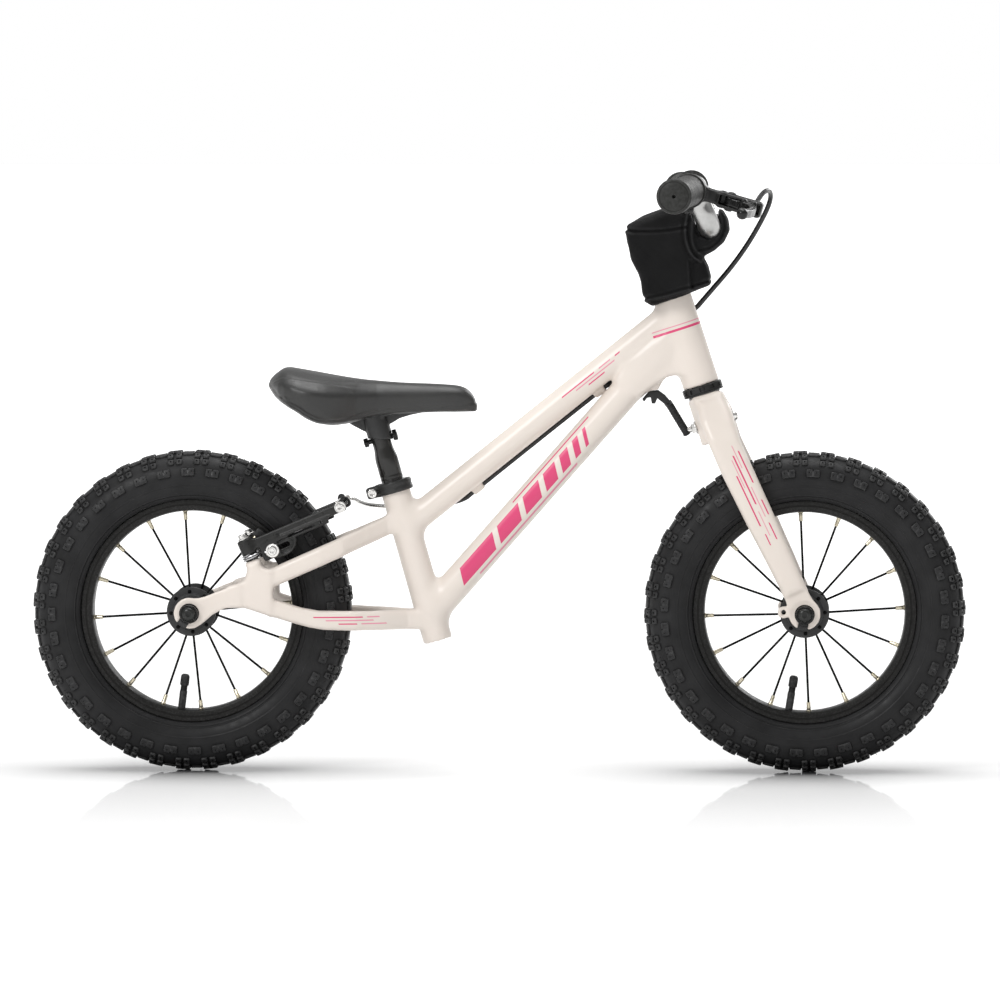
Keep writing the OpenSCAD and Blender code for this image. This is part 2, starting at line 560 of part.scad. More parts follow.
// Pad with its post, washers and bolt, and the bolt that ends the cable.
module pad_r() {
  w = rim_w / 2;
  translate([-219, 0, 218.6]) rotate([90, 0, 0]) {
    translate([0, 0, w + pad_gap + 9.5]) cylinder(r = 2.9, h = boss_y - w - pad_gap + 1.5);
    translate([0, 0, 31]) cylinder(r = 6.4, h = 5.4);
    translate([0, 0, 44.6]) cylinder(r = 6.8, h = 2);
    translate([0, 0, 46.6]) cylinder(r = 4.4, h = 4);
  }
  translate(hub_r) rotate([90, 0, 0]) rotate([0, 0, 22.5]) rotate_extrude(angle = 29, $fn = 96) translate([96.8, w + pad_gap]) square([9.4, 10.5]);
}
module brake_arm_right() { color(black) arm_r(); }
module brake_arm_left() { color(black) mirror_y() arm_r(); }
module brake_pad_right() { color(rubber) pad_r(); }
module brake_pad_left() { color(rubber) mirror_y() pad_r(); }

// ---- seat --------------------------------------------------------------
module seat_post() {
  color(black) seatax() difference() {
    rotate_extrude() polygon([[8.6, 8], [post_r, 8], [post_r, 116], [9.3, 126], [9.3, 144], [7, 144], [7, 124], [8.6, 114]]);
    translate([-30, 0, 136]) rotate([0, 90, 0]) cylinder(r = 2.6, h = 60);
  }
}
saddle_out = [[-227.4, 382], [-219.5, 390], [-209.5, 395.8], [-190.7, 393.4], [-162, 388], [-133, 384], [-104.5, 381.4], [-75.7, 380.3], [-47, 379], [-32.5, 375.4], [-25.4, 368.5], [-21.4, 359.5], [-22.5, 355.5], [-32.5, 354], [-61.3, 352.7], [-90, 351], [-111.6, 349], [-133, 344.8], [-147.6, 341.2], [-162, 340.7], [-176, 343.4], [-186.4, 348.4], [-195, 354.2], [-205, 359.2], [-216.6, 367], [-225, 375.7]];
saddle_plan = [for (q = [[-227, 0.22], [-223, 0.5], [-214, 0.78], [-200, 0.95], [-184, 1], [-168, 0.96], [-152, 0.8], [-136, 0.56], [-118, 0.4], [-90, 0.33], [-55, 0.29], [-35, 0.25], [-25, 0.16], [-21.4, 0.06]]) [q[0], q[1] * saddle_w / 2]];
module saddle_pocket() {
  intersection() {
    side([[-208, 330], [-50, 330], [-50, 361], [-111, 359], [-133, 356], [-160, 352], [-178, 356], [-196, 366], [-208, 372]], -90, 90);
    plan([[-206, -44], [-172, -46], [-142, -24], [-100, -15], [-52, -10], [-52, 10], [-100, 15], [-142, 24], [-172, 46], [-206, 44]], 300, 420);
  }
}
module saddle_cover() {
  color(rubber) difference() {
    intersection() {
      side(saddle_out, -90, 90);
      plan(concat(saddle_plan, [for (i = [len(saddle_plan) - 1 : -1 : 0]) [saddle_plan[i][0], -saddle_plan[i][1]]]), 300, 420);
    }
    saddle_pocket();
  }
}
// Plastic base under the cover with the socket that takes the post.
module saddle_shell() {
  color(black) difference() {
    union() {
      intersection() {
        saddle_pocket();
        side([[-208, 372], [-196, 366], [-178, 356], [-160, 352], [-133, 356], [-111, 359], [-50, 361], [-50, 356], [-111, 353], [-133, 349.5], [-160, 345.5], [-180, 349], [-198, 360], [-208, 366]], -90, 90);
      }
      seatax() translate([0, 0, 128]) cylinder(r = 12.2, h = 26);
      side([[-150, 346], [-131, 333.5], [-118, 345], [-100, 345], [-94, 340], [-84, 346], [-72, 351.5], [-72, 355.5], [-111, 354], [-133, 351], [-150, 347.4]], -4, 4);
    }
    seatax() translate([0, 0, 120]) cylinder(r = 9.35, h = 24.5);
    seatax() translate([-30, 0, 136]) rotate([0, 90, 0]) cylinder(r = 2.6, h = 60);
  }
}
module saddle_bolt() {
  color(black) seatax() translate([0, 0, 136]) rotate([0, 90, 0]) {
    translate([0, 0, -17]) cylinder(r = 2.5, h = 32);
    translate([0, 0, 12.4]) cylinder(r = 5.4, h = 4.4);
    translate([0, 0, -16.8]) cylinder(r = 5, h = 4.4, $fn = 6);
  }
}

head_tube();
top_tube();
down_tube();
seat_tube();
seat_stay_right();
seat_stay_left();
chain_stay_right();
chain_stay_left();
dropout_right();
dropout_left();
arm_pivot_bolts();
headset_cups();
headset_bearings();
seat_clamp();
seat_clamp_bolt();
rear_axle();
rear_axle_nuts();
damper_bracket();
damper_spring();
cable_housing();
cable_noodle();
cable_loop();
fork_steerer();
fork_leg_right();
fork_leg_left();
fork_dropout_right();
fork_dropout_left();
crown_bolt();
stem();
stem_bolts();
top_cap();
handlebar();
grip_right();
grip_left();
lever_body();
barrel_adjuster();
handlebar_pad();
front_axle();
front_axle_nuts();
front_tyre();
front_inner_tube();
front_rim();
front_hub();
front_spokes();
front_bearings();
rear_tyre();
rear_inner_tube();
rear_rim();
rear_hub();
rear_spokes();
rear_bearings();
brake_lever();
brake_arm_right();
brake_arm_left();
brake_pad_right();
brake_pad_left();
seat_post();
saddle_shell();
saddle_cover();
saddle_bolt();
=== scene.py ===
import json
import math
import bpy
import numpy as np
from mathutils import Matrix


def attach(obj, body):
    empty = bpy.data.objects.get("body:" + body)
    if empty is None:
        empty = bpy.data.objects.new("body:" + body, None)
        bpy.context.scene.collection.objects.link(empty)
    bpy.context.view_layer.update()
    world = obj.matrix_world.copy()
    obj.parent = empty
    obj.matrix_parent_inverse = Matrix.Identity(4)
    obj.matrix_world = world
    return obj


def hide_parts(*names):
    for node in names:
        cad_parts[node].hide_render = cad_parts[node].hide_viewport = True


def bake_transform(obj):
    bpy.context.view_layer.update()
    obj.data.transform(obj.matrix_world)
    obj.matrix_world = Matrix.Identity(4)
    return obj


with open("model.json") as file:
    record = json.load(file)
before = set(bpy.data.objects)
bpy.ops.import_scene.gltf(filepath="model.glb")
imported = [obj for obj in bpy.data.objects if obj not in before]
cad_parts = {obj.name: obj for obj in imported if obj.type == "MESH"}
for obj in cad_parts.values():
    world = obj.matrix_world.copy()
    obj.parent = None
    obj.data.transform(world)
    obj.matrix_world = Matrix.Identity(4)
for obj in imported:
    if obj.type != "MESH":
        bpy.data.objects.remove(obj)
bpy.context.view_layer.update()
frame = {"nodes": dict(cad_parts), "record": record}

import openvdb as vdb
from mathutils import Matrix, Vector

scene = bpy.context.scene
NODES = frame["nodes"]
rng = np.random.default_rng(7)

# ------------------------------------------------------------------ camera, light, floor
def look_at(obj, target):
    d = Vector(target) - obj.location
    obj.rotation_euler = d.to_track_quat("-Z", "Y").to_euler()

CAM_T = Vector((0.0014, 0.0, 0.266))
YAW, ELEV, DIST = math.radians(2.3), math.radians(3.4), 7.37
cam_data = bpy.data.cameras.new("camera")
cam_data.sensor_width = 36.0
cam_data.lens = 36.0 * DIST / 0.98
cam_data.clip_end = 200.0
cam = bpy.data.objects.new("camera", cam_data)
scene.collection.objects.link(cam)
cam.location = CAM_T + DIST * Vector((math.sin(YAW) * math.cos(ELEV), -math.cos(YAW) * math.cos(ELEV), math.sin(ELEV)))
look_at(cam, CAM_T)
scene.camera = cam
scene.view_settings.view_transform = "Standard"

world = bpy.data.worlds.new("world")
scene.world = world
world.use_nodes = True
bg = world.node_tree.nodes["Background"]
bg.inputs["Strength"].default_value = 1.0
# a white room: bright at the horizon and overhead, dimmer in between, so that dark parts keep their depth
_nt = world.node_tree
_tc = _nt.nodes.new("ShaderNodeTexCoord")
_sep = _nt.nodes.new("ShaderNodeSeparateXYZ")
_rmp = _nt.nodes.new("ShaderNodeValToRGB")
_nt.links.new(_tc.outputs["Generated"], _sep.inputs[0])
_nt.links.new(_sep.outputs[2], _rmp.inputs[0])
_nt.links.new(_rmp.outputs[0], bg.inputs["Color"])
_els = _rmp.color_ramp.elements
while len(_els) < 5:
    _els.new(0.5)
for _k, (_t, _c) in enumerate(((0.0, 1.0), (0.10, 1.0), (0.22, 0.34), (0.62, 0.42), (1.0, 0.95))):
    _els[_k].position = _t
    _els[_k].color = (_c, _c, _c, 1.0)

def area(name, loc, target, size, power, size_y=None):
    d = bpy.data.lights.new(name, "AREA")
    d.shape = "RECTANGLE"
    d.size = size
    d.size_y = size_y or size
    d.energy = power
    o = bpy.data.objects.new(name, d)
    scene.collection.objects.link(o)
    o.location = loc
    look_at(o, target)
    return o

area("key", (-1.8, -2.6, 2.4), (0, 0, 0.3), 1.3, 62)
area("top", (0.2, 0.2, 2.8), (0, 0, 0.2), 2.4, 42, 1.4)
area("rim_back", (1.6, 2.8, 1.7), (0, 0, 0.3), 1.4, 26)

# ------------------------------------------------------------------ mesh helpers (millimetres in, metres out)
def new_mesh(name, verts, faces, smooth=True, mats=(), mat_index=None):
    me = bpy.data.meshes.new(name)
    v = np.asarray(verts, np.float64) * 0.001
    if isinstance(faces, np.ndarray):
        n, k = faces.shape
        me.vertices.add(len(v))
        me.vertices.foreach_set("co", v.astype(np.float32).ravel())
        me.loops.add(n * k)
        me.loops.foreach_set("vertex_index", faces.astype(np.int32).ravel())
        me.polygons.add(n)
        me.polygons.foreach_set("loop_start", np.arange(0, n * k, k, dtype=np.int32))
        me.polygons.foreach_set("loop_total", np.full(n, k, np.int32))
        me.update(calc_edges=True)
        me.validate()
    else:
        me.from_pydata([tuple(p) for p in v], [], [tuple(int(i) for i in f) for f in faces])
        me.update()
    for m in mats:
        me.materials.append(m)
    if mat_index is not None:
        me.polygons.foreach_set("material_index", np.asarray(mat_index, np.int32))
    me.polygons.foreach_set("use_smooth", np.full(len(me.polygons), bool(smooth)))
    o = bpy.data.objects.new(name, me)
    scene.collection.objects.link(o)
    return o

def sharp(o, angle=35.0):
    """Keeps edges steeper than angle crisp while the rest shades smooth."""
    me = o.data
    me.update()
    import bmesh
    b = bmesh.new()
    b.from_mesh(me)
    lim = math.radians(angle)
    for e in b.edges:
        if len(e.link_faces) == 2 and e.calc_face_angle(0.0) > lim:
            e.smooth = False
    b.to_mesh(me)
    b.free()
    return o

class Build:
    """Collects closed islands of quads and n-gons into one mesh."""
    def __init__(s):
        s.v, s.f, s.m = [], [], []
        s.n = 0
    def add(s, v, f, m=0):
        v = np.asarray(v, float)
        s.v.append(v)
        for q in f:
            s.f.append(tuple(int(i) + s.n for i in q))
            s.m.append(m)
        s.n += len(v)
    def make(s, name, mats, smooth=True, ang=None):
        o = new_mesh(name, np.concatenate(s.v), s.f, smooth, mats, s.m)
        if ang:
            sharp(o, ang)
        return o

def rings_to_faces(nr, k, cap0=True, cap1=True, closed=True):
    f = []
    for i in range(nr - 1):
        for j in range(k if closed else k - 1):
            a, b = i * k + j, i * k + (j + 1) % k
            f.append((a, b, b + k, a + k))
    if cap0:
        f.append(tuple(range(k - 1, -1, -1)))
    if cap1:
        f.append(tuple(range((nr - 1) * k, nr * k)))
    return f

def lathe(profile, seg, a0=0.0):
    """Profile of (radius, height) pairs turned about +Z. Closed when its ends meet the axis or each other."""
    p = np.asarray(profile, float)
    ang = a0 + np.arange(seg) * 2 * math.pi / seg
    v = np.stack([p[:, 0][:, None] * np.cos(ang), p[:, 0][:, None] * np.sin(ang), np.repeat(p[:, 1][:, None], seg, 1)], -1).reshape(-1, 3)
    return v

def lathe_solid(profile, seg):
    """A lathe from axis to axis (first and last radius are tiny) or a loop (first point equals last)."""
    p = [tuple(q) for q in profile]
    loop = p[0] == p[-1]
    if loop:
        p = p[:-1]
    v = lathe(p, seg)
    n = len(p)
    f = []
    for i in range(n if loop else n - 1):
        for j in range(seg):
            a, b = i * seg + j, i * seg + (j + 1) % seg
            c, d = ((i + 1) % n) * seg + (j + 1) % seg, ((i + 1) % n) * seg + j
            f.append((a, b, c, d))
    if not loop:
        f.append(tuple(range(seg - 1, -1, -1)))
        f.append(tuple(range((n - 1) * seg, n * seg)))
    # outward orientation
    vv = v
    vol = 0.0
    for q in f[:: max(1, len(f) // 4000)]:
        a = vv[q[0]]
        for i in range(1, len(q) - 1):
            vol += np.dot(a, np.cross(vv[q[i]], vv[q[i + 1]]))
    if vol < 0:
        f = [tuple(reversed(q)) for q in f]
    return v, f

def xf(v, M=None, t=(0, 0, 0)):
    v = np.asarray(v, float)
    if M is not None:
        v = v @ np.asarray(M, float).T
    return v + np.asarray(t, float)

def rot(axis, deg):
    a = math.radians(deg)
    c, s = math.cos(a), math.sin(a)
    return {"x": np.array([[1, 0, 0], [0, c, -s], [0, s, c]]), "y": np.array([[c, 0, s], [0, 1, 0], [-s, 0, c]]), "z": np.array([[c, -s, 0], [s, c, 0], [0, 0, 1]])}[axis]

def basis(d, up=(0, 0, 1)):
    """Rotation whose Z column is d."""
    d = np.asarray(d, float) / np.linalg.norm(d)
    u = np.asarray(up, float)
    if abs(np.dot(u, d)) > 0.97:
        u = np.array([1.0, 0, 0])
    x = np.cross(u, d)
    x /= np.linalg.norm(x)
    return np.stack([x, np.cross(d, x), d], 1)

def catmull(p, k):
    p = np.asarray(p, float)
    out = []
    n = len(p)
    for i in range(n - 1):
        a, b, c, d = p[max(0, i - 1)], p[i], p[i + 1], p[min(n - 1, i + 2)]
        for j in range(k):
            t = j / k
            out.append(0.5 * (2 * b + (c - a) * t + (2 * a - 5 * b + 4 * c - d) * t * t + (3 * b - a - 3 * c + d) * t ** 3))
    out.append(p[-1])
    return np.array(out)

def sweep(path, radius, seg=16, up=(0.3, 0.9, 0.1), section=None, caps=True):
    """Tube along path with parallel-transported frames. radius is a number, a list per point, or a section scale per point."""
    c = np.asarray(path, float)
    n = len(c)
    r = np.full(n, float(radius)) if np.isscalar(radius) else np.asarray(radius, float)
    t = np.gradient(c, axis=0)
    t /= np.linalg.norm(t, axis=1)[:, None]
    a = np.cross(t[0], up)
    a /= np.linalg.norm(a)
    ang = np.arange(seg) * 2 * math.pi / seg
    if section is None:
        sec = np.stack([np.cos(ang), np.sin(ang)], 1)
    else:
        sec = np.asarray(section, float)
        seg = len(sec)
    v = []
    for i in range(n):
        a = a - t[i] * np.dot(a, t[i])
        a /= np.linalg.norm(a)
        b = np.cross(t[i], a)
        v.append(c[i] + r[i] * (sec[:, :1] * a + sec[:, 1:] * b))
    v = np.concatenate(v)
    return v, rings_to_faces(n, seg, caps, caps)

# ------------------------------------------------------------------ signed distance modelling
def smin(a, b, k):
    if k <= 0:
        return np.minimum(a, b)
    h = np.clip(0.5 + 0.5 * (b - a) / k, 0, 1)
    return b + (a - b) * h - k * h * (1 - h)

def smax(a, b, k):
    return -smin(-a, -b, k)

def poly2(P, Q, pts):
    """Signed distance to a polygon, negative inside."""
    v = np.asarray(pts, np.float32)
    n = len(v)
    d = np.full(P.shape, 1e9, np.float32)
    s = np.ones(P.shape, np.float32)
    for i in range(n):
        a, b = v[i], v[i - 1]
        ex, ey = b - a
        wx, wy = P - a[0], Q - a[1]
        t = np.clip((wx * ex + wy * ey) / (ex * ex + ey * ey), 0, 1)
        bx, by = wx - ex * t, wy - ey * t
        d = np.minimum(d, bx * bx + by * by)
        c1, c2, c3 = Q >= a[1], Q < b[1], ex * wy > ey * wx
        s = np.where((c1 & c2 & c3) | (~c1 & ~c2 & ~c3), -s, s)
    return s * np.sqrt(d)

class Field:
    def __init__(s, lo, hi, h):
        s.lo, s.h = np.array(lo, float), float(h)
        s.n = np.ceil((np.array(hi, float) - s.lo) / h).astype(int) + 1
        s.F = np.full(s.n, 50.0, np.float32)
    def window(s, lo, hi, pad):
        a = np.clip(np.floor((np.array(lo, float) - pad - s.lo) / s.h).astype(int), 0, s.n - 1)
        b = np.clip(np.ceil((np.array(hi, float) + pad - s.lo) / s.h).astype(int) + 1, 1, s.n)
        ax = [(s.lo[i] + s.h * np.arange(a[i], b[i])).astype(np.float32) for i in range(3)]
        return tuple(slice(a[i], b[i]) for i in range(3)), ax
    def op(s, fn, lo, hi, k, mode):
        sl, ax = s.window(lo, hi, k + 3 * s.h)
        X, Y, Z = ax[0][:, None, None], ax[1][None, :, None], ax[2][None, None, :]
        d = fn(X, Y, Z).astype(np.float32)
        cur = s.F[sl]
        s.F[sl] = smin(cur, d, k) if mode > 0 else smax(cur, -d, k)
        return s
    def add(s, fn, box, k=0.0):
        return s.op(fn, box[0], box[1], k, 1)
    def cut(s, fn, box, k=0.0):
        return s.op(fn, box[0], box[1], k, -1)
    def mesh(s, name, mats, relax=1, adapt=0.0):
        g = vdb.FloatGrid()
        w = 3.0 * s.h
        g.background = w
        g.copyFromArray(np.ascontiguousarray(np.clip(s.F, -w, w)))
        p, q = g.convertToQuads(isovalue=0.0)
        p = np.asarray(p, float) * s.h + s.lo
        q = np.asarray(q, np.int64)
        v = p[q]
        c = v.mean(1)
        nrm = np.cross(v[:, 2] - v[:, 0], v[:, 3] - v[:, 1])
        if (c * nrm).sum() < 0:
            q = q[:, ::-1]
        for _ in range(relax):
            acc = np.zeros_like(p)
            cnt = np.zeros(len(p))
            for i in range(4):
                j = (i + 1) % 4
                np.add.at(acc, q[:, i], p[q[:, j]])
                np.add.at(acc, q[:, j], p[q[:, i]])
                np.add.at(cnt, q[:, i], 1)
                np.add.at(cnt, q[:, j], 1)
            p = 0.5 * p + 0.5 * acc / np.maximum(cnt, 1)[:, None]
        return new_mesh(name, p, np.ascontiguousarray(q), True, mats)

def bbox_of(*pts, r=0.0):
    a = np.array(pts, float)
    return a.min(0) - r, a.max(0) + r

def s_cyl(p0, p1, r0, r1=None, rnd=0.0):
    """Flat-ended cylinder or cone from p0 to p1."""
    p0, p1 = np.array(p0, float), np.array(p1, float)
    L = np.linalg.norm(p1 - p0)
    u = (p1 - p0) / L
    r1 = r0 if r1 is None else r1
    def f(X, Y, Z):
        x, y, z = X - p0[0], Y - p0[1], Z - p0[2]
        t = x * u[0] + y * u[1] + z * u[2]
        q = np.sqrt(np.maximum(x * x + y * y + z * z - t * t, 0))
        a = q - (r0 + (r1 - r0) * np.clip(t / L, 0, 1)) + rnd
        b = np.maximum(-t, t - L) + rnd
        return np.where((a > 0) & (b > 0), np.sqrt(np.maximum(a, 0) ** 2 + np.maximum(b, 0) ** 2), np.maximum(a, b)) - rnd
    return f, bbox_of(p0, p1, r=max(r0, r1))

def s_cap(p0, p1, r0, r1=None):
    """Round-ended cone."""
    p0, p1 = np.array(p0, float), np.array(p1, float)
    d = p1 - p0
    L2 = float(d @ d) or 1e-9
    r1 = r0 if r1 is None else r1
    def f(X, Y, Z):
        x, y, z = X - p0[0], Y - p0[1], Z - p0[2]
        t = np.clip((x * d[0] + y * d[1] + z * d[2]) / L2, 0, 1)
        return np.sqrt((x - d[0] * t) ** 2 + (y - d[1] * t) ** 2 + (z - d[2] * t) ** 2) - (r0 + (r1 - r0) * t)
    return f, bbox_of(p0, p1, r=max(r0, r1))

def s_box(c, R, half, rnd=0.0):
    """Rounded box: centre, rotation (columns are its axes), half sizes."""
    c, half = np.array(c, float), np.array(half, float)
    R = np.asarray(R, float)
    def f(X, Y, Z):
        x, y, z = X - c[0], Y - c[1], Z - c[2]
        q = [np.abs(x * R[0, i] + y * R[1, i] + z * R[2, i]) - half[i] + rnd for i in range(3)]
        out = np.sqrt(sum(np.maximum(v, 0) ** 2 for v in q))
        return out + np.minimum(np.maximum(np.maximum(q[0], q[1]), q[2]), 0) - rnd
    e = np.abs(R) @ half
    return f, (c - e, c + e)

def s_side(pts, y0, y1, k=1.0):
    """XZ outline between two Y values, with rounded rims."""
    P = np.array(pts, float)
    def f(X, Y, Z):
        d = poly2(np.broadcast_to(X[:, :, :], (X.shape[0], 1, Z.shape[2])).astype(np.float32), np.broadcast_to(Z, (X.shape[0], 1, Z.shape[2])).astype(np.float32), pts)
        return smax(d, np.abs(Y - (y0 + y1) / 2) - (y1 - y0) / 2, k)
    return f, (np.array([P[:, 0].min(), y0, P[:, 1].min()]), np.array([P[:, 0].max(), y1, P[:, 1].max()]))

def s_side_plan(sp, pp, k=4.0, shrink=0.0):
    """XZ outline met with an XY outline."""
    S, P = np.array(sp, float), np.array(pp, float)
    def f(X, Y, Z):
        a = poly2(np.broadcast_to(X, (X.shape[0], 1, Z.shape[2])).astype(np.float32), np.broadcast_to(Z, (X.shape[0], 1, Z.shape[2])).astype(np.float32), sp)
        b = poly2(np.broadcast_to(X, (X.shape[0], Y.shape[1], 1)).astype(np.float32), np.broadcast_to(Y, (X.shape[0], Y.shape[1], 1)).astype(np.float32), pp)
        return smax(a, b, k) + shrink
    return f, (np.array([max(S[:, 0].min(), P[:, 0].min()), P[:, 1].min(), S[:, 1].min()]), np.array([min(S[:, 0].max(), P[:, 0].max()), P[:, 1].max(), S[:, 1].max()]))

def s_side_front(sp, fp, k=4.0, shrink=0.0):
    """XZ outline met with a YZ outline."""
    S, P = np.array(sp, float), np.array(fp, float)
    def f(X, Y, Z):
        a = poly2(np.broadcast_to(X, (X.shape[0], 1, Z.shape[2])).astype(np.float32), np.broadcast_to(Z, (X.shape[0], 1, Z.shape[2])).astype(np.float32), sp)
        b = poly2(np.broadcast_to(Y, (1, Y.shape[1], Z.shape[2])).astype(np.float32), np.broadcast_to(Z, (1, Y.shape[1], Z.shape[2])).astype(np.float32), fp)
        return smax(a, b, k) + shrink
    return f, (np.array([S[:, 0].min(), P[:, 0].min(), max(S[:, 1].min(), P[:, 1].min())]), np.array([S[:, 0].max(), P[:, 0].max(), min(S[:, 1].max(), P[:, 1].max())]))

def mirrored(fb):
    f, (lo, hi) = fb
    return (lambda X, Y, Z: f(X, -Y, Z)), (np.array([lo[0], -hi[1], lo[2]]), np.array([hi[0], -lo[1], hi[2]]))

# ------------------------------------------------------------------ materials
class Mat:
    """A node material with object coordinates (metres) ready to use."""
    def __init__(s, name, rough=0.5, metallic=0.0, spec=0.5, coat=0.0, coat_rough=0.1, sheen=0.0, sheen_rough=0.5, ior=1.5):
        s.m = bpy.data.materials.new(name)
        s.m.use_nodes = True
        s.nt = s.m.node_tree
        s.b = s.nt.nodes["Principled BSDF"]
        s.b.inputs["Roughness"].default_value = rough
        s.b.inputs["Metallic"].default_value = metallic
        s.b.inputs["Specular IOR Level"].default_value = spec
        s.b.inputs["IOR"].default_value = ior
        s.b.inputs["Coat Weight"].default_value = coat
        s.b.inputs["Coat Roughness"].default_value = coat_rough
        s.b.inputs["Sheen Weight"].default_value = sheen
        s.b.inputs["Sheen Roughness"].default_value = sheen_rough
        s.co = s.nt.nodes.new("ShaderNodeTexCoord").outputs["Object"]
        s.h = None
    def put(s, sock, v):
        if hasattr(v, "is_linked") or hasattr(v, "links"):
            s.nt.links.new(v, sock)
        elif isinstance(v, (tuple, list)):
            v = tuple(v)
            if len(sock.default_value) == 4 and len(v) == 3:
                v = v + (1.0,)
            sock.default_value = v
        else:
            sock.default_value = v
    def math(s, op, a, b=None, c=None, clamp=False):
        n = s.nt.nodes.new("ShaderNodeMath")
        n.operation = op
        n.use_clamp = clamp
        s.put(n.inputs[0], a)
        if b is not None:
            s.put(n.inputs[1], b)
        if c is not None:
            s.put(n.inputs[2], c)
        return n.outputs[0]
    def vmath(s, op, a, b=None):
        n = s.nt.nodes.new("ShaderNodeVectorMath")
        n.operation = op
        s.put(n.inputs[0], a)
        if b is not None:
            s.put(n.inputs[1], b)
        return n.outputs["Value"] if op in ("DOT_PRODUCT", "LENGTH", "DISTANCE") else n.outputs["Vector"]
    def noise(s, scale, detail=3.0, rough=0.5, co=None, dist=0.0, out="Fac"):
        n = s.nt.nodes.new("ShaderNodeTexNoise")
        s.put(n.inputs["Vector"], co if co is not None else s.co)
        n.inputs["Scale"].default_value = scale
        n.inputs["Detail"].default_value = detail
        n.inputs["Roughness"].default_value = rough
        n.inputs["Distortion"].default_value = dist
        return n.outputs[out]
    def voronoi(s, scale, co=None, feature="F1", rnd=1.0):
        n = s.nt.nodes.new("ShaderNodeTexVoronoi")
        n.feature = feature
        s.put(n.inputs["Vector"], co if co is not None else s.co)
        n.inputs["Scale"].default_value = scale
        n.inputs["Randomness"].default_value = rnd
        return n.outputs["Distance"]
    def ramp(s, v, stops):
        n = s.nt.nodes.new("ShaderNodeValToRGB")
        s.put(n.inputs[0], v)
        e = n.color_ramp.elements
        while len(e) < len(stops):
            e.new(0.5)
        for k, (t, c) in enumerate(stops):
            e[k].position = t
            e[k].color = tuple(c) + (1.0,) if len(c) == 3 else tuple(c)
        return n.outputs[0]
    def maprange(s, v, a, b, c, d):
        n = s.nt.nodes.new("ShaderNodeMapRange")
        s.put(n.inputs[0], v)
        for k, x in enumerate((a, b, c, d)):
            n.inputs[k + 1].default_value = x
        return n.outputs[0]
    def mix(s, f, a, b, kind="MIX"):
        n = s.nt.nodes.new("ShaderNodeMix")
        n.data_type = "RGBA"
        n.blend_type = kind
        s.put(n.inputs["Factor"], f)
        s.put([q for q in n.inputs if q.name == "A" and q.type == "RGBA"][0], a)
        s.put([q for q in n.inputs if q.name == "B" and q.type == "RGBA"][0], b)
        return [q for q in n.outputs if q.type == "RGBA"][0]
    def color(s, v):
        s.put(s.b.inputs["Base Color"], v)
        return s
    def rough(s, v):
        s.put(s.b.inputs["Roughness"], v)
        return s
    def bump(s, h, strength, dist):
        n = s.nt.nodes.new("ShaderNodeBump")
        n.inputs["Strength"].default_value = strength
        n.inputs["Distance"].default_value = dist
        s.put(n.inputs["Height"], h)
        if s.h is not None:
            s.nt.links.new(s.h, n.inputs["Normal"])
        s.h = n.outputs[0]
        s.nt.links.new(s.h, s.b.inputs["Normal"])
        return s
    def edge(s, lo=0.5, hi=0.56):
        """0 on flats, 1 along convex edges."""
        g = s.nt.nodes.new("ShaderNodeNewGeometry")
        return s.maprange(g.outputs["Pointiness"], lo, hi, 0.0, 1.0)

def unit(v):
    v = np.array(v, float)
    return v / np.linalg.norm(v)

# ---- frame paint with generic pink stripes
def slab(M, co, o, u, v, s0, s1, p0, p1, slant=0.0, soft=0.00012):
    """1 inside a parallelogram measured along u and across v from o (millimetres)."""
    d = M.vmath("SUBTRACT", co, tuple(x * 0.001 for x in o))
    a = M.vmath("DOT_PRODUCT", d, tuple(u))
    b = M.vmath("DOT_PRODUCT", d, tuple(v))
    a = M.math("SUBTRACT", a, M.math("MULTIPLY", b, slant))
    def gate(x, lo, hi):
        c, h = (lo + hi) * 0.0005, (hi - lo) * 0.0005
        e = M.math("SUBTRACT", h, M.math("ABSOLUTE", M.math("SUBTRACT", x, c)))
        return M.math("ADD", M.math("DIVIDE", e, soft), 0.5, clamp=True)
    return M.math("MULTIPLY", gate(a, s0, s1), gate(b, p0, p1))

def paint(name, stripes=()):
    M = Mat(name, rough=0.44, spec=0.40, coat=0.30, coat_rough=0.20)
    n1 = M.noise(9.0, 2.0)
    base = M.ramp(n1, [(0.3, (0.690, 0.622, 0.562)), (0.7, (0.715, 0.648, 0.590))])
    for st in stripes:
        st = dict(st)
        c = st.pop("c", PINK)
        m = slab(M, M.co, **st)
        base = M.mix(m, base, c)
    M.color(base)
    M.rough(M.maprange(M.noise(60.0, 3.0), 0.3, 0.7, 0.36, 0.47))
    M.bump(M.noise(900.0, 2.0), 0.05, 0.0001)
    return M.m

PINK = (0.63, 0.045, 0.155)
PINK2 = (0.70, 0.26, 0.34)

def black_metal(name="black_metal", base=(0.022, 0.022, 0.0215), rough=0.42, wear=True, spec=0.34, vary=1.0):
    M = Mat(name, rough=rough, spec=spec)
    c = M.ramp(M.noise(140.0, 4.0), [(0.3, tuple(x * (1 - 0.2 * vary) for x in base)), (0.75, tuple(x * (1 + 0.35 * vary) for x in base))])
    if wear:
        e = M.math("MULTIPLY", M.edge(0.51, 0.60), M.maprange(M.noise(700.0, 3.0), 0.45, 0.7, 0.05, 0.55))
        c = M.mix(e, c, (0.11, 0.11, 0.11))
    M.color(c)
    M.rough(M.maprange(M.noise(220.0, 3.0), 0.3, 0.7, rough - 0.07 * vary, rough + 0.1 * vary))
    M.bump(M.noise(1600.0, 2.0), 0.12, 0.0002 * vary)
    return M.m

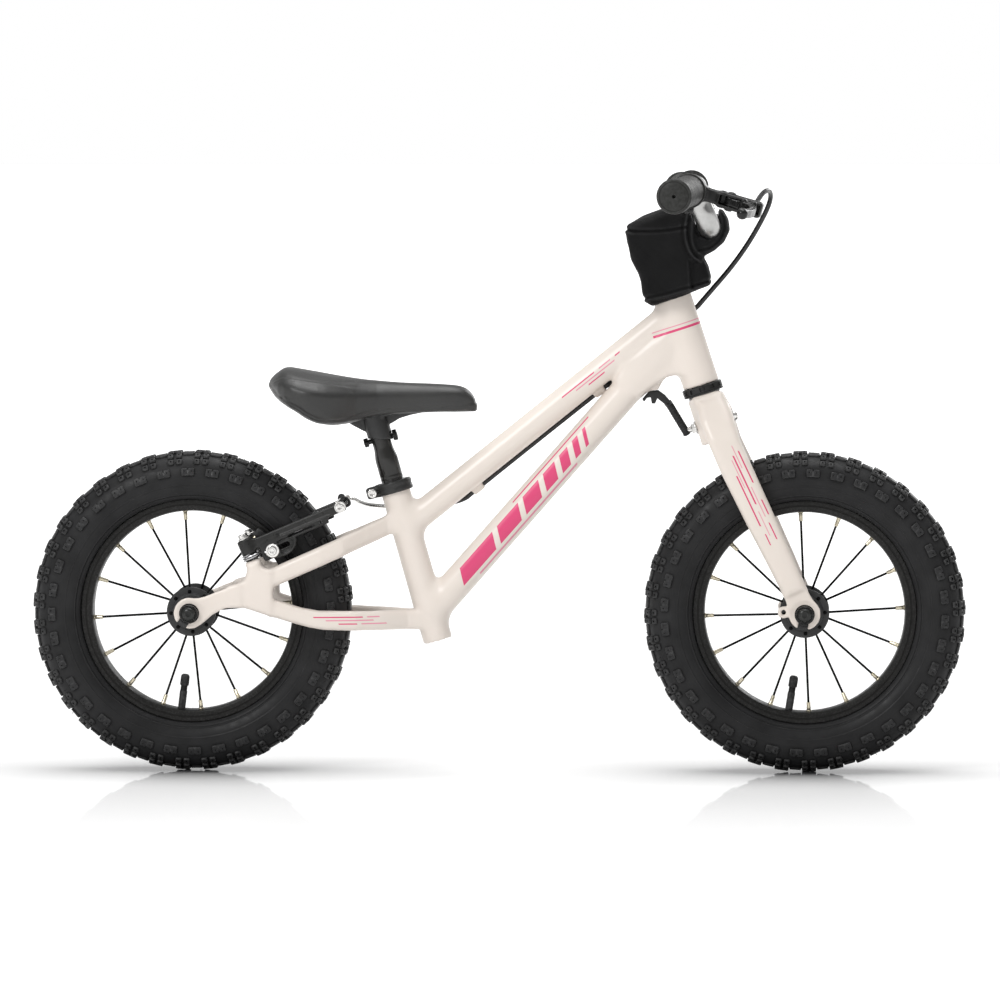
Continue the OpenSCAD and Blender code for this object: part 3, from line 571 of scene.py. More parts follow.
def steel(name="bright_steel", base=(0.60, 0.60, 0.61), rough=0.26, vary=1.0):
    M = Mat(name, rough=rough, metallic=1.0)
    M.color(M.ramp(M.noise(260.0, 4.0), [(0.3, tuple(x * (1 - 0.12 * vary) for x in base)), (0.7, tuple(min(1, x * (1 + 0.1 * vary)) for x in base))]))
    M.rough(M.maprange(M.noise(500.0, 4.0), 0.3, 0.7, rough - 0.08 * vary, rough + 0.1 * vary))
    M.bump(M.noise(2500.0, 2.0), 0.08, 0.0001)
    return M.m

def brass():
    M = Mat("nipple_brass", rough=0.3, metallic=1.0)
    M.color(M.ramp(M.noise(400.0, 3.0), [(0.3, (0.60, 0.54, 0.40)), (0.7, (0.74, 0.68, 0.53))]))
    M.rough(M.maprange(M.noise(900.0, 3.0), 0.3, 0.7, 0.22, 0.4))
    return M.m

def rubber(name, base=(0.026, 0.026, 0.027), rough=0.62, grain=1400.0, depth=0.00025, spec=0.4, crevice_shade_dist=0.0, lit=0.6):
    M = Mat(name, rough=rough, spec=spec)
    a = M.noise(35.0, 4.0)
    c = M.ramp(a, [(0.3, tuple(x * 0.82 for x in base)), (0.7, tuple(x * 1.25 for x in base))])
    # painted highlight: convex edges are lightened, by an amount set with lit, to stand in for light catching the rims
    painted_edge_highlight = M.math("MULTIPLY", M.edge(0.5, 0.57), M.maprange(M.noise(320.0, 4.0), 0.3, 0.7, 0.1 * lit, lit))
    c = M.mix(painted_edge_highlight, c, (0.10, 0.10, 0.10))
    # painted shade: concave creases are darkened to stand in for shade
    c = M.mix(M.edge(0.495, 0.44), c, tuple(x * 0.3 for x in base))
    # painted shade: an AO node darkens the colour in the crevices round the knobs, within the given distance
    if crevice_shade_dist:
        ao = M.nt.nodes.new("ShaderNodeAmbientOcclusion")
        ao.samples = 6
        ao.inputs["Distance"].default_value = crevice_shade_dist
        painted_crevice_shade = M.maprange(ao.outputs["AO"], 0.45, 0.95, 1.0, 0.0)
        c = M.mix(painted_crevice_shade, c, tuple(x * 0.06 for x in base))
    M.color(c)
    M.rough(M.maprange(M.noise(180.0, 4.0), 0.3, 0.7, rough - 0.1, rough + 0.1))
    M.bump(M.noise(grain, 3.0), 0.25, depth)
    return M.m

def plastic(name, base=(0.03, 0.03, 0.031), rough=0.4, grain=2600.0):
    M = Mat(name, rough=rough, spec=0.5)
    M.color(M.ramp(M.noise(90.0, 3.0), [(0.3, tuple(x * 0.85 for x in base)), (0.7, tuple(x * 1.2 for x in base))]))
    M.rough(M.maprange(M.noise(300.0, 3.0), 0.3, 0.7, rough - 0.05, rough + 0.08))
    M.bump(M.noise(grain, 2.0), 0.12, 0.00012)
    return M.m

def vinyl(name="saddle_vinyl", base=(0.024, 0.024, 0.0232)):
    M = Mat(name, rough=0.38, spec=0.48)
    warp = M.noise(500.0, 2.0, out="Color")
    v = M.voronoi(1100.0, feature="DISTANCE_TO_EDGE")
    g = M.maprange(v, 0.0, 0.22, 0.0, 1.0)
    c = M.ramp(M.noise(26.0, 4.0), [(0.3, tuple(x * 0.88 for x in base)), (0.7, tuple(x * 1.14 for x in base))])
    M.color(M.mix(M.math("MULTIPLY", M.math("SUBTRACT", 1.0, g), 0.35), c, tuple(x * 0.45 for x in base)))
    M.rough(M.maprange(M.noise(70.0, 3.0), 0.3, 0.7, 0.33, 0.42))
    M.bump(g, 0.22, 0.0002)
    M.bump(M.noise(60.0, 3.0), 0.15, 0.0006)
    return M.m

def neoprene(name="pad_fabric", base=(0.0058, 0.0058, 0.0060)):
    M = Mat(name, rough=0.58, spec=0.09, sheen=0.02, sheen_rough=0.4)
    sep = M.nt.nodes.new("ShaderNodeSeparateXYZ")
    M.put(sep.inputs[0], M.co)
    x = M.math("ADD", sep.outputs[0], sep.outputs[1])
    wa = M.math("SINE", M.math("MULTIPLY", x, 9000.0))
    wb = M.math("SINE", M.math("MULTIPLY", sep.outputs[2], 9000.0))
    w = M.math("MULTIPLY", wa, wb)
    c = M.ramp(M.noise(40.0, 5.0), [(0.3, tuple(v * 0.8 for v in base)), (0.7, tuple(v * 1.35 for v in base))])
    lint = M.maprange(M.noise(2600.0, 4.0), 0.66, 0.8, 0.0, 0.5)
    c = M.mix(lint, c, (0.05, 0.05, 0.052))
    # painted highlight: convex ridges such as the piping are lightened
    c = M.mix(M.math("MULTIPLY", M.edge(0.51, 0.57), 0.75), c, (0.045, 0.045, 0.046))
    # painted shade: concave seams and creases are darkened almost to black
    c = M.mix(M.edge(0.49, 0.45), c, (0.0012, 0.0012, 0.0012))
    M.color(c)
    M.bump(w, 0.35, 0.00018)
    M.bump(M.noise(420.0, 4.0), 0.2, 0.0004)
    return M.m

HEAD_O = (198.5, 0, 379)
SU = unit((-math.sin(math.radians(18)), 0, math.cos(math.radians(18))))
SX = np.array([math.cos(math.radians(18)), 0, math.sin(math.radians(18))])
SEAT_O = (-78.5, 0, 195)
TU = unit((-math.sin(math.radians(15.8)), 0, math.cos(math.radians(15.8))))
TX = np.array([TU[2], 0, -TU[0]])
DU = unit((math.cos(math.radians(48.7)), 0, math.sin(math.radians(48.7))))
DV = np.array([-DU[2], 0, DU[0]])
PU = unit((math.cos(math.radians(38.6)), 0, math.sin(math.radians(38.6))))
PV = np.array([-PU[2], 0, PU[0]])
def st_pt(s, x=0.0, y=0.0):
    return np.array(HEAD_O, float) + SU * s + SX * x + np.array([0, y, 0])
def seat_pt(s, x=0.0, y=0.0):
    return np.array(SEAT_O, float) + TU * s + TX * x + np.array([0, y, 0])
def down_pt(s, x=0.0, y=0.0):
    return np.array([-67, 0, 154.8]) + DU * s + DV * x + np.array([0, y, 0])
def top_pt(s, x=0.0, y=0.0):
    return np.array([-91, 0, 239.4]) + PU * s + PV * x + np.array([0, y, 0])

FRAME_STRIPES = []
dn = dict(o=(-67, 0, 154.8), u=DU, v=DV)
for a, b in ((48, 96), (103, 134), (141, 164), (171, 188), (195, 207), (214, 222), (229, 233.5)):
    FRAME_STRIPES.append(dict(dn, s0=a, s1=b, p0=-7.0, p1=7.5, slant=0.7))
FRAME_STRIPES.append(dict(dn, s0=70, s1=214, p0=-11.6, p1=-10.0, slant=0.7, c=PINK2))
FRAME_STRIPES.append(dict(dn, s0=128, s1=240, p0=10.6, p1=11.7, slant=0.7))
tp = dict(o=(-91, 0, 239.4), u=PU, v=PV)
for a, b, p, c in ((196, 236, 3.4, PINK), (242, 256, 3.4, PINK2), (262, 268, 3.4, PINK), (214, 262, 0.2, PINK2), (230, 250, -3.0, PINK)):
    FRAME_STRIPES.append(dict(tp, s0=a, s1=b, p0=p, p1=p + 1.2, slant=0.9, c=c))
cs = dict(o=(0, 0, 149.5), u=np.array([1.0, 0, 0]), v=np.array([0, 0, 1.0]))
for a, b, p, c in ((-176, -128, 3.6, PINK), (-124, -112, 3.6, PINK2), (-166, -120, 0.4, PINK2), (-156, -138, -3.0, PINK), (-134, -110, -3.0, PINK2)):
    FRAME_STRIPES.append(dict(cs, s0=a, s1=b, p0=p, p1=p + 1.2, slant=-0.7, c=c))
hd = dict(o=HEAD_O, u=SU, v=SX)
FRAME_STRIPES.append(dict(hd, s0=58, s1=60.4, p0=-30, p1=30, slant=0.0))
FRAME_STRIPES.append(dict(hd, s0=63, s1=64.0, p0=-30, p1=30, slant=0.0, c=PINK2))

LEG_U = unit((269.5 + 261.3 - 219 * 1.0 - 207, 0, 256.5 + 210.3 - 295.5 - 321))
LEG_U = unit((302 - 225, 0, 183 - 345))
LEG_V = np.array([-LEG_U[2], 0, LEG_U[0]])
FORK_STRIPES = []
lg = dict(o=(225, 0, 345), u=LEG_U, v=LEG_V)
for a, b, p, w, c in ((52, 86, -1.0, 1.3, PINK), (48, 72, -4.4, 0.8, PINK2), (60, 112, -7.6, 1.5, PINK), (66, 96, -10.2, 0.8, PINK2), (92, 124, -4.2, 0.9, PINK2),
                      (84, 138, -12.8, 1.4, PINK), (104, 120, -0.6, 1.2, PINK), (120, 146, -8.0, 0.8, PINK2), (130, 148, -3.6, 1.2, PINK), (146, 158, -11.6, 1.1, PINK)):
    FORK_STRIPES.append(dict(lg, s0=a - 20, s1=b - 20, p0=p - 2.5, p1=p + w - 2.5, slant=0.9, c=c))

M_FRAME = paint("frame_paint", FRAME_STRIPES)
M_FORK = paint("fork_paint", FORK_STRIPES)
M_BLACK = black_metal(base=(0.0095, 0.0095, 0.0092), rough=0.34)
M_RIM = black_metal("rim_black", (0.0060, 0.0057, 0.0050), 0.36, wear=True, spec=0.2)
M_HUB = black_metal("hub_black", (0.022, 0.022, 0.0225), 0.36)
M_SPOKE = black_metal("spoke_black", (0.0016, 0.0016, 0.0018), 0.40, wear=False, spec=0.08)
M_STEEL = steel()
M_SILVER = steel("bolt_silver", (0.72, 0.71, 0.69), 0.2)
M_BRASS = brass()
M_TYRE = rubber("tyre_rubber", (0.0185, 0.0185, 0.0190), 0.40, 900.0, 0.00035, 0.11, 0.0045, 0.25)
# the knobs use a slightly lighter copy of the tyre rubber, which paints light onto the raised knobs, and a stronger
# painted edge highlight
M_KNOB = rubber("tyre_knob", (0.0200, 0.0200, 0.0206), 0.34, 900.0, 0.00035, 0.12, 0.0019, 0.5)
M_RUB = rubber("soft_rubber", (0.0080, 0.0080, 0.0083), 0.5, spec=0.22)
M_GRIP = rubber("grip_rubber", (0.030, 0.0303, 0.028), 0.5, 1800.0, 0.0002, 0.25)
M_GRIP_END = rubber("grip_end", (0.0130, 0.0133, 0.0118), 0.44, 1800.0, 0.0002, 0.2)
M_PLASTIC = plastic("black_plastic", (0.012, 0.012, 0.0122), 0.38)
M_CABLE = plastic("cable_black", (0.0075, 0.0075, 0.0078), 0.27, 1500.0)
M_VINYL = vinyl()
M_PAD = neoprene()
M_POST = black_metal("post_black", (0.0150, 0.0146, 0.0134), 0.20, wear=False, spec=0.42, vary=0.3)

M_CHROME = steel("bar_chrome", (0.46, 0.46, 0.45), 0.30, 0.4)
M_NUT = black_metal("nut_black", (0.0022, 0.0023, 0.0021), 0.14, spec=0.22, vary=0.4)
M_FACE = black_metal("nut_face", (0.0115, 0.0122, 0.0108), 0.22, spec=0.36, vary=0.6)
M_LEVER = black_metal("lever_black", (0.006, 0.006, 0.006), 0.24)
M_ARM = black_metal("arm_black", (0.0125, 0.0125, 0.0118), 0.32)
M_CLAMP = black_metal("clamp_black", (0.020, 0.020, 0.0195), 0.34)

NODE_MAT = {"black_steel": M_BLACK, "frame_paint": M_FRAME, "bright_steel": M_STEEL, "black_metal": M_BLACK, "black_plastic": M_PLASTIC, "tyre_rubber": M_TYRE, "soft_rubber": M_RUB, "saddle_vinyl": M_VINYL, "pad_fabric": M_PAD}
for sp in frame["record"]["subparts"]:
    me = NODES[sp["node"]].data
    me.materials.clear()
    me.materials.append(NODE_MAT[sp["material_slot"]])

def put(o, body, slot, *replaced):
    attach(o, body)
    if replaced:
        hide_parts(*replaced)
    return o

# ------------------------------------------------------------------ frame
def axle_slot(F, c, y0, y1, ang, half, length=22):
    u = np.array([math.cos(math.radians(ang)), 0, math.sin(math.radians(ang))])
    F.cut(*s_cyl((c[0], y0 - 2, c[2]), (c[0], y1 + 2, c[2]), 5.2))
    R = np.stack([u, [0, 1, 0], np.cross(u, [0, 1, 0])], 1)
    F.cut(*s_box(np.array([c[0], (y0 + y1) / 2, c[2]]) + u * length / 2, R, (length / 2, abs(y1 - y0), half)), k=0.6)

def build_frame():
    F = Field((-321, -56, 88), (236, 56, 478), 1.5)
    F.add(*s_cyl(st_pt(0), st_pt(92), 18, rnd=1.2))
    F.add(*s_cyl(top_pt(4, 0.2), top_pt(338, 1.2), 13.0), k=9)
    F.add(*s_cyl(down_pt(2), down_pt(372), 15.2), k=4)
    F.add(*s_side([[114, 384.5], [138, 370], [165, 387], [188, 393], [178, 438], [150, 421], [124, 400]], -13.4, 13.4, 5), k=7)
    F.add(*s_cyl(seat_pt(-70), seat_pt(91.5), 14.3, rnd=1.0), k=10)
    ss_s = [[-222, 181], [-104, 232.8], [-90, 240], [-96, 262], [-109, 253], [-113, 249.5], [-222, 200.8]]
    ss_p = [[-230, -50], [-172, -49], [-150, -44], [-126, -26], [-108, -14], [-90, -11], [-90, -4], [-110, -5], [-126, -14], [-146, -30], [-162, -35], [-230, -36]]
    cs_s = [[-222, 154.5], [-200, 147.8], [-184, 143.5], [-170, 141], [-143, 140], [-62, 139], [-70, 159], [-174, 160], [-191, 163], [-210, 169], [-222, 172.5]]
    cs_p = [[-230, -50], [-165, -49], [-138, -45], [-112, -32], [-88, -16], [-62, -12], [-62, -4], [-84, -4], [-104, -13], [-128, -29], [-150, -34.5], [-230, -36]]
    ro = 47.5
    parts = [
        (s_side_plan(ss_s, ss_p, 7), 5), (s_side_plan(cs_s, cs_p, 7), 4),
        (s_side([[-262, 183.5], [-252, 186.5], [-246, 191], [-243.5, 200], [-245.5, 206], [-232.5, 209], [-230, 203], [-222, 200.8], [-218, 199], [-218, 155], [-222, 154.5], [-240, 160.5], [-250, 163.5], [-262, 163.5]], -ro - 4.5, -36.5, 6), 3),
        (s_side([[-294, 172], [-285, 174], [-273, 179], [-258, 184.5], [-250, 186], [-250, 163.5], [-262, 163.5], [-270, 160], [-277, 156], [-284, 150], [-290, 146]], -ro - 4.8, -ro, 2.4), 4),
        (s_cyl((-300, -ro - 4.8, 157.5), (-300, -ro, 157.5), 15.3, rnd=1.4), 2.0),
        (s_cyl((-237.5 - 0.3891 * -8, -40, 207 - 0.9212 * 8), (-237.5 + 0.3891 * -1.4, -40, 207 + 0.9212 * 1.4), 6.6, rnd=0.8), 5),
    ]
    for fb, k in parts:
        F.add(*fb, k=k)
        F.add(*mirrored(fb), k=k)
    for sgn in (-1, 1):
        # relief ring round the axle seat
        y = sgn * (ro + 4.8)
        F.cut(lambda X, Y, Z, y=y: np.maximum(np.abs(np.sqrt((X + 300) ** 2 + (Z - 157.5) ** 2) - 11.6) - 1.0, np.abs(Y - y) - 0.55), ((-316, y - 2, 142), (-284, y + 2, 173)), k=0.7)
        axle_slot(F, (-300, 0, 157.5), sgn * (ro - 1), sgn * (ro + 6), 237, 4.8)
    F.add(*s_side([[147, 373.4], [156.5, 374.6], [163, 388], [150, 384]], -6, 6, 1.5), k=3)
    # cable guides under the top tube
    for gx, gz in ((98.2, 372.6), (-20.6, 277.4)):
        c = np.array([gx, 6.0, gz])
        F.add(*s_cyl(c - PU * 6.5, c + PU * 6.5, 4.3, rnd=1.2), k=0.5)
        F.add(*s_box(c + PV * 5.0 + np.array([0, -0.5, 0]), np.stack([PU, [0, 1, 0], PV], 1), (5.0, 2.4, 5.0), 1.0), k=1.2)
    F.cut(*s_cyl(seat_pt(-74), seat_pt(95), 11.5))
    F.cut(*s_cyl(st_pt(-4), st_pt(96), 15.3))
    o = F.mesh("frame_shell", [M_FRAME], relax=2)
    return put(o, "frame", "frame_paint", "head_tube", "top_tube", "down_tube", "seat_tube", "seat_stay_right", "seat_stay_left", "chain_stay_right", "chain_stay_left", "dropout_right", "dropout_left")

# ------------------------------------------------------------------ fork
LEG_SIDE = [[192, 366], [219, 374.8], [228, 357], [237, 327], [246, 308], [269.5, 256.5], [290, 210.5], [302.5, 181.5], [281, 171.5], [261.3, 210.3], [243.4, 244.5], [218, 295.5], [207, 321], [198, 342]]
LEG_FRONT = [[-17, 374], [-27, 362], [-38, 346], [-46, 328], [-50, 308], [-51, 285], [-51, 210], [-49, 170], [-36, 170], [-35, 285], [-33.5, 306], [-28.5, 324], [-20, 338], [-13, 350], [-13, 374]]

def build_fork():
    F = Field((186, -57, 132), (326, 57, 384), 1.3)
    F.add(*s_cyl(st_pt(-57), st_pt(-11.2), 17.5, rnd=1.2))
    leg = s_side_front(LEG_SIDE, LEG_FRONT, 9)
    F.add(*leg, k=12)
    F.add(*mirrored(leg), k=12)
    fo = 40.0
    drops = [
        (s_side([[276, 186], [281, 171.5], [283, 166], [286, 156], [288, 150], [300, 150], [314.5, 162], [309, 170], [302.5, 181.5], [297, 194]], -fo - 4.8, -fo, 2.2), 2.2),
        (s_cyl((300, -fo - 4.8, 157.5), (300, -fo, 157.5), 15.3, rnd=1.4), 2.0),
        (s_cyl((279.5, -fo - 4.8, 159.6), (279.5, -fo, 159.6), 6.0, rnd=1.2), 3.0),
    ]
    for fb, k in drops:
        F.add(*fb, k=k)
        F.add(*mirrored(fb), k=k)
    for sgn in (-1, 1):
        y = sgn * (fo + 4.8)
        F.cut(lambda X, Y, Z, y=y: np.maximum(np.abs(np.sqrt((X - 300) ** 2 + (Z - 157.5) ** 2) - 11.6) - 1.0, np.abs(Y - y) - 0.55), ((284, y - 2, 142), (316, y + 2, 173)), k=0.7)
        axle_slot(F, (300, 0, 157.5), sgn * (fo - 1), sgn * (fo + 6), 262, 4.8)
        F.cut(*s_cyl((279.5, sgn * (fo - 2), 159.6), (279.5, sgn * (fo + 7), 159.6), 2.5))
    F.cut(*s_cyl(st_pt(-62), st_pt(-36), 14.4, rnd=0.5))
    o = F.mesh("fork_shell", [M_FORK], relax=2)
    put(o, "steering", "frame_paint", "fork_steerer", "fork_leg_right", "fork_leg_left", "fork_dropout_right", "fork_dropout_left")
    R = np.stack([SX, [0, 1, 0], SU], 1)
    R = np.stack([SX, np.cross(SU, SX), SU], 1)
    B = Build()
    v, f = lathe_solid([(12.6, -12.5), (12.6, 140.5), (12.0, 141), (10.4, 141), (10.3, 140.5), (10.3, -12.5), (12.6, -12.5)], 64)
    B.add(xf(v, R, HEAD_O), f)
    v, f = lathe_solid([(13.0, -12.2), (17.2, -12.2), (17.2, -11.4), (15.6, -8.9), (13.0, -8.9), (13.0, -12.2)], 72)
    B.add(xf(v, R, HEAD_O), f)
    return put(B.make("steerer_tube", [M_STEEL], ang=35), "steering", "bright_steel")

# ------------------------------------------------------------------ wheels
WX = np.array([[1, 0, 0], [0, 0, -1], [0, 1, 0]], float)      # lathe frame to wheel frame, axis along -Y

def tyre_r(ph):
    """Carcass radius round the section centre at angle ph (radians; 90 degrees is the crown)."""
    d = np.degrees(ph)
    r = 27.0 + 0.5 * np.cos(ph) - 2.0 * np.clip((d - 30) / 60, 0, 1) ** 1.3
    for c, w, hgt in ((-9.5, 1.1, 0.26), (-12.5, 1.0, -0.10), (-31, 1.2, 0.5), (-34.5, 1.4, -0.3), (3.0, 0.9, 0.10)):
        r = r + hgt * np.exp(-((d - c) / w) ** 2)
    return r

def tyre_pt(th, ph, hh, side):
    R = tyre_r(ph) + hh
    r = 129.0 + R * np.sin(ph)
    return np.stack([r * np.cos(th), r * np.sin(th), side * R * np.cos(ph)], -1)

def round_rect(hu, hv, cham, n=3):
    pts = []
    for cx, cy, a0 in ((hu - cham, hv - cham, 0), (-hu + cham, hv - cham, 90), (-hu + cham, -hv + cham, 180), (hu - cham, -hv + cham, 270)):
        for k in range(n):
            a = math.radians(a0 + 90 * k / (n - 1))
            pts.append((cx + cham * math.cos(a), cy + cham * math.sin(a)))
    return np.array(pts)

def knob(B, th, ph, side, outline, hgt, dimple=None, inset=0.5, base=0.55):
    o = np.asarray(outline, float)
    k = len(o)
    L = np.linalg.norm(o, axis=1)[:, None]
    rings = [(o * (1 + base / L), -0.8), (o * (1 + base / L), 0.05), (o * (1 + 0.1 / L), hgt - 0.45), (o * (1 - inset / L), hgt)]
    if dimple is not None:
        a = np.arctan2(o[:, 1], o[:, 0])
        c = np.stack([np.cos(a), np.sin(a)], 1)
        off = np.array([dimple[0], dimple[1]])
        rings += [(o * (1 - (inset + 0.32) / L), hgt + 0.02), (c * (dimple[2] + 0.42) + off, hgt + 0.02), (c * (dimple[2] + 0.12) + off, hgt + 0.02), (c * dimple[2] * 0.8 + off, hgt - dimple[3]), (c * dimple[2] * 0.4 + off, hgt - dimple[3] - 0.1)]
    R0 = float(tyre_r(np.array(ph)))
    r0 = 129.0 + R0 * math.sin(ph)
    vs = []
    for p, hh in rings:
        vs.append(tyre_pt(th + p[:, 0] / r0, ph + p[:, 1] / R0, hh, side))
    f = rings_to_faces(len(rings), k)
    # outline is anticlockwise seen from outside only for side +1 with th growing: check and flip
    v = np.concatenate(vs)
    a, b, c = v[0], v[1], v[k]
    cen = v[: 2 * k].mean(0)
    nn = np.cross(b - a, c - a)
    if np.dot(nn, a - cen) < 0:
        f = [tuple(reversed(q)) for q in f]
    B.add(v, f, 1)

def build_tyre(name, c, body, node, phase):
    seg = 216
    phs = np.radians(np.concatenate([np.linspace(-42, -24, 22), np.linspace(-22.5, -14, 7), np.linspace(-13.6, -6, 18), np.linspace(-4.5, 6, 12), np.linspace(9, 90, 25)]))
    R = tyre_r(phs)
    half = np.stack([129 + R * np.sin(phs), R * np.cos(phs)], 1)
    half = np.concatenate([[[104.5, 12.6], [107.4, 13.2], [109.3, 14.4], [109.5, 16.3], [110.0, 18.6]], half])
    outer = np.concatenate([half, (half * [1, -1])[::-1][1:]])
    inner = np.array([(104.5, -11.2), (111.5, -11.6), (116, -19), (124, -24), (134, -24.2), (143, -21), (150, -13), (152.2, -5), (152.2, 5), (150, 13), (143, 21), (134, 24.2), (124, 24), (116, 19), (111.5, 11.6), (104.5, 11.2)])
    prof = np.concatenate([outer, inner, outer[:1]])
    v, f = lathe_solid(prof, seg)
    B = Build()
    B.add(v, f)
    pitch = 2 * math.pi / 36
    sq = round_rect(2.55, 2.55, 0.9)
    lobe = round_rect(2.9, 3.4, 1.0)
    bar_ = round_rect(3.3, 2.7, 0.6)
    cen = round_rect(5.4, 5.6, 1.5)
    cen2 = round_rect(2.5, 3.2, 0.9)
    d2r = math.radians
    for i in range(36):
        th = phase + i * pitch
        thh = th + pitch / 2
        for side in (1, -1):
            for pd, hgt in ((40.0, 2.2), (57.0, 2.9), (73.5, 3.2)):
                ph = d2r(pd)
                rr = 129.0 + 27 * math.sin(ph)
                for du in (-4.1, 4.1):
                    knob(B, th + du / rr, ph, side, sq, hgt, (0, 0, 0.78, 1.2))
            ph = d2r(16.5)
            rr = 129.0 + 27 * math.sin(ph)
            knob(B, thh - 3.25 / rr, ph, side, lobe, 2.1, (0.1, 0.5, 0.8, 1.4), inset=0.4)
            knob(B, thh + 3.25 / rr, ph, side, lobe, 2.1, (-0.1, 0.5, 0.8, 1.4), inset=0.4)
            knob(B, thh, ph - d2r(1.6), side, bar_, 2.08, None, inset=0.35)
        # crown: a broad smooth block between the knob groups, small ones on the groups' line
        for q, hh in ((thh, 1.9),):
            knob(B, q, d2r(90) - 1e-4 - d2r(13.2), 1, cen, hh, None, inset=0.7)
            knob(B, q, d2r(90) - 1e-4 - d2r(13.2), -1, cen, hh, None, inset=0.7)
        knob(B, th, d2r(89.999), 1, cen2, 3.3, (0, 0, 0.9, 0.9))
    # moulding whiskers
    for _ in range(64):
        th = rng.uniform(0, 2 * math.pi)
        ph = d2r(rng.choice([40.0, 57.0, 66.0]) + rng.uniform(-2, 2))
        side = rng.choice([-1, 1])
        L = rng.uniform(2.0, 3.6)
        p0, p1 = tyre_pt(np.array(th), np.array(ph), 1.0, side), tyre_pt(np.array(th + rng.uniform(-0.008, 0.008)), np.array(ph + rng.uniform(-0.03, 0.03)), 1.8 + L * 0.8, side)
        r1 = math.hypot(p1[0], p1[1])
        if r1 > 157.9:
            p1 = p1 * np.array([157.9 / r1, 157.9 / r1, 1])
        vv, ff = sweep([p0, (p0 + p1) / 2, p1], [0.28, 0.24, 0.15], 4, up=(0.11, 0.2, 0.97))
        B.add(vv, ff)
    o = B.make(name, [M_TYRE, M_KNOB], ang=50)
    o.data.transform(Matrix(((1, 0, 0, c[0] * 0.001), (0, 0, -1, c[1] * 0.001), (0, 1, 0, c[2] * 0.001), (0, 0, 0, 1))))
    return put(o, body, "tyre_rubber", node)

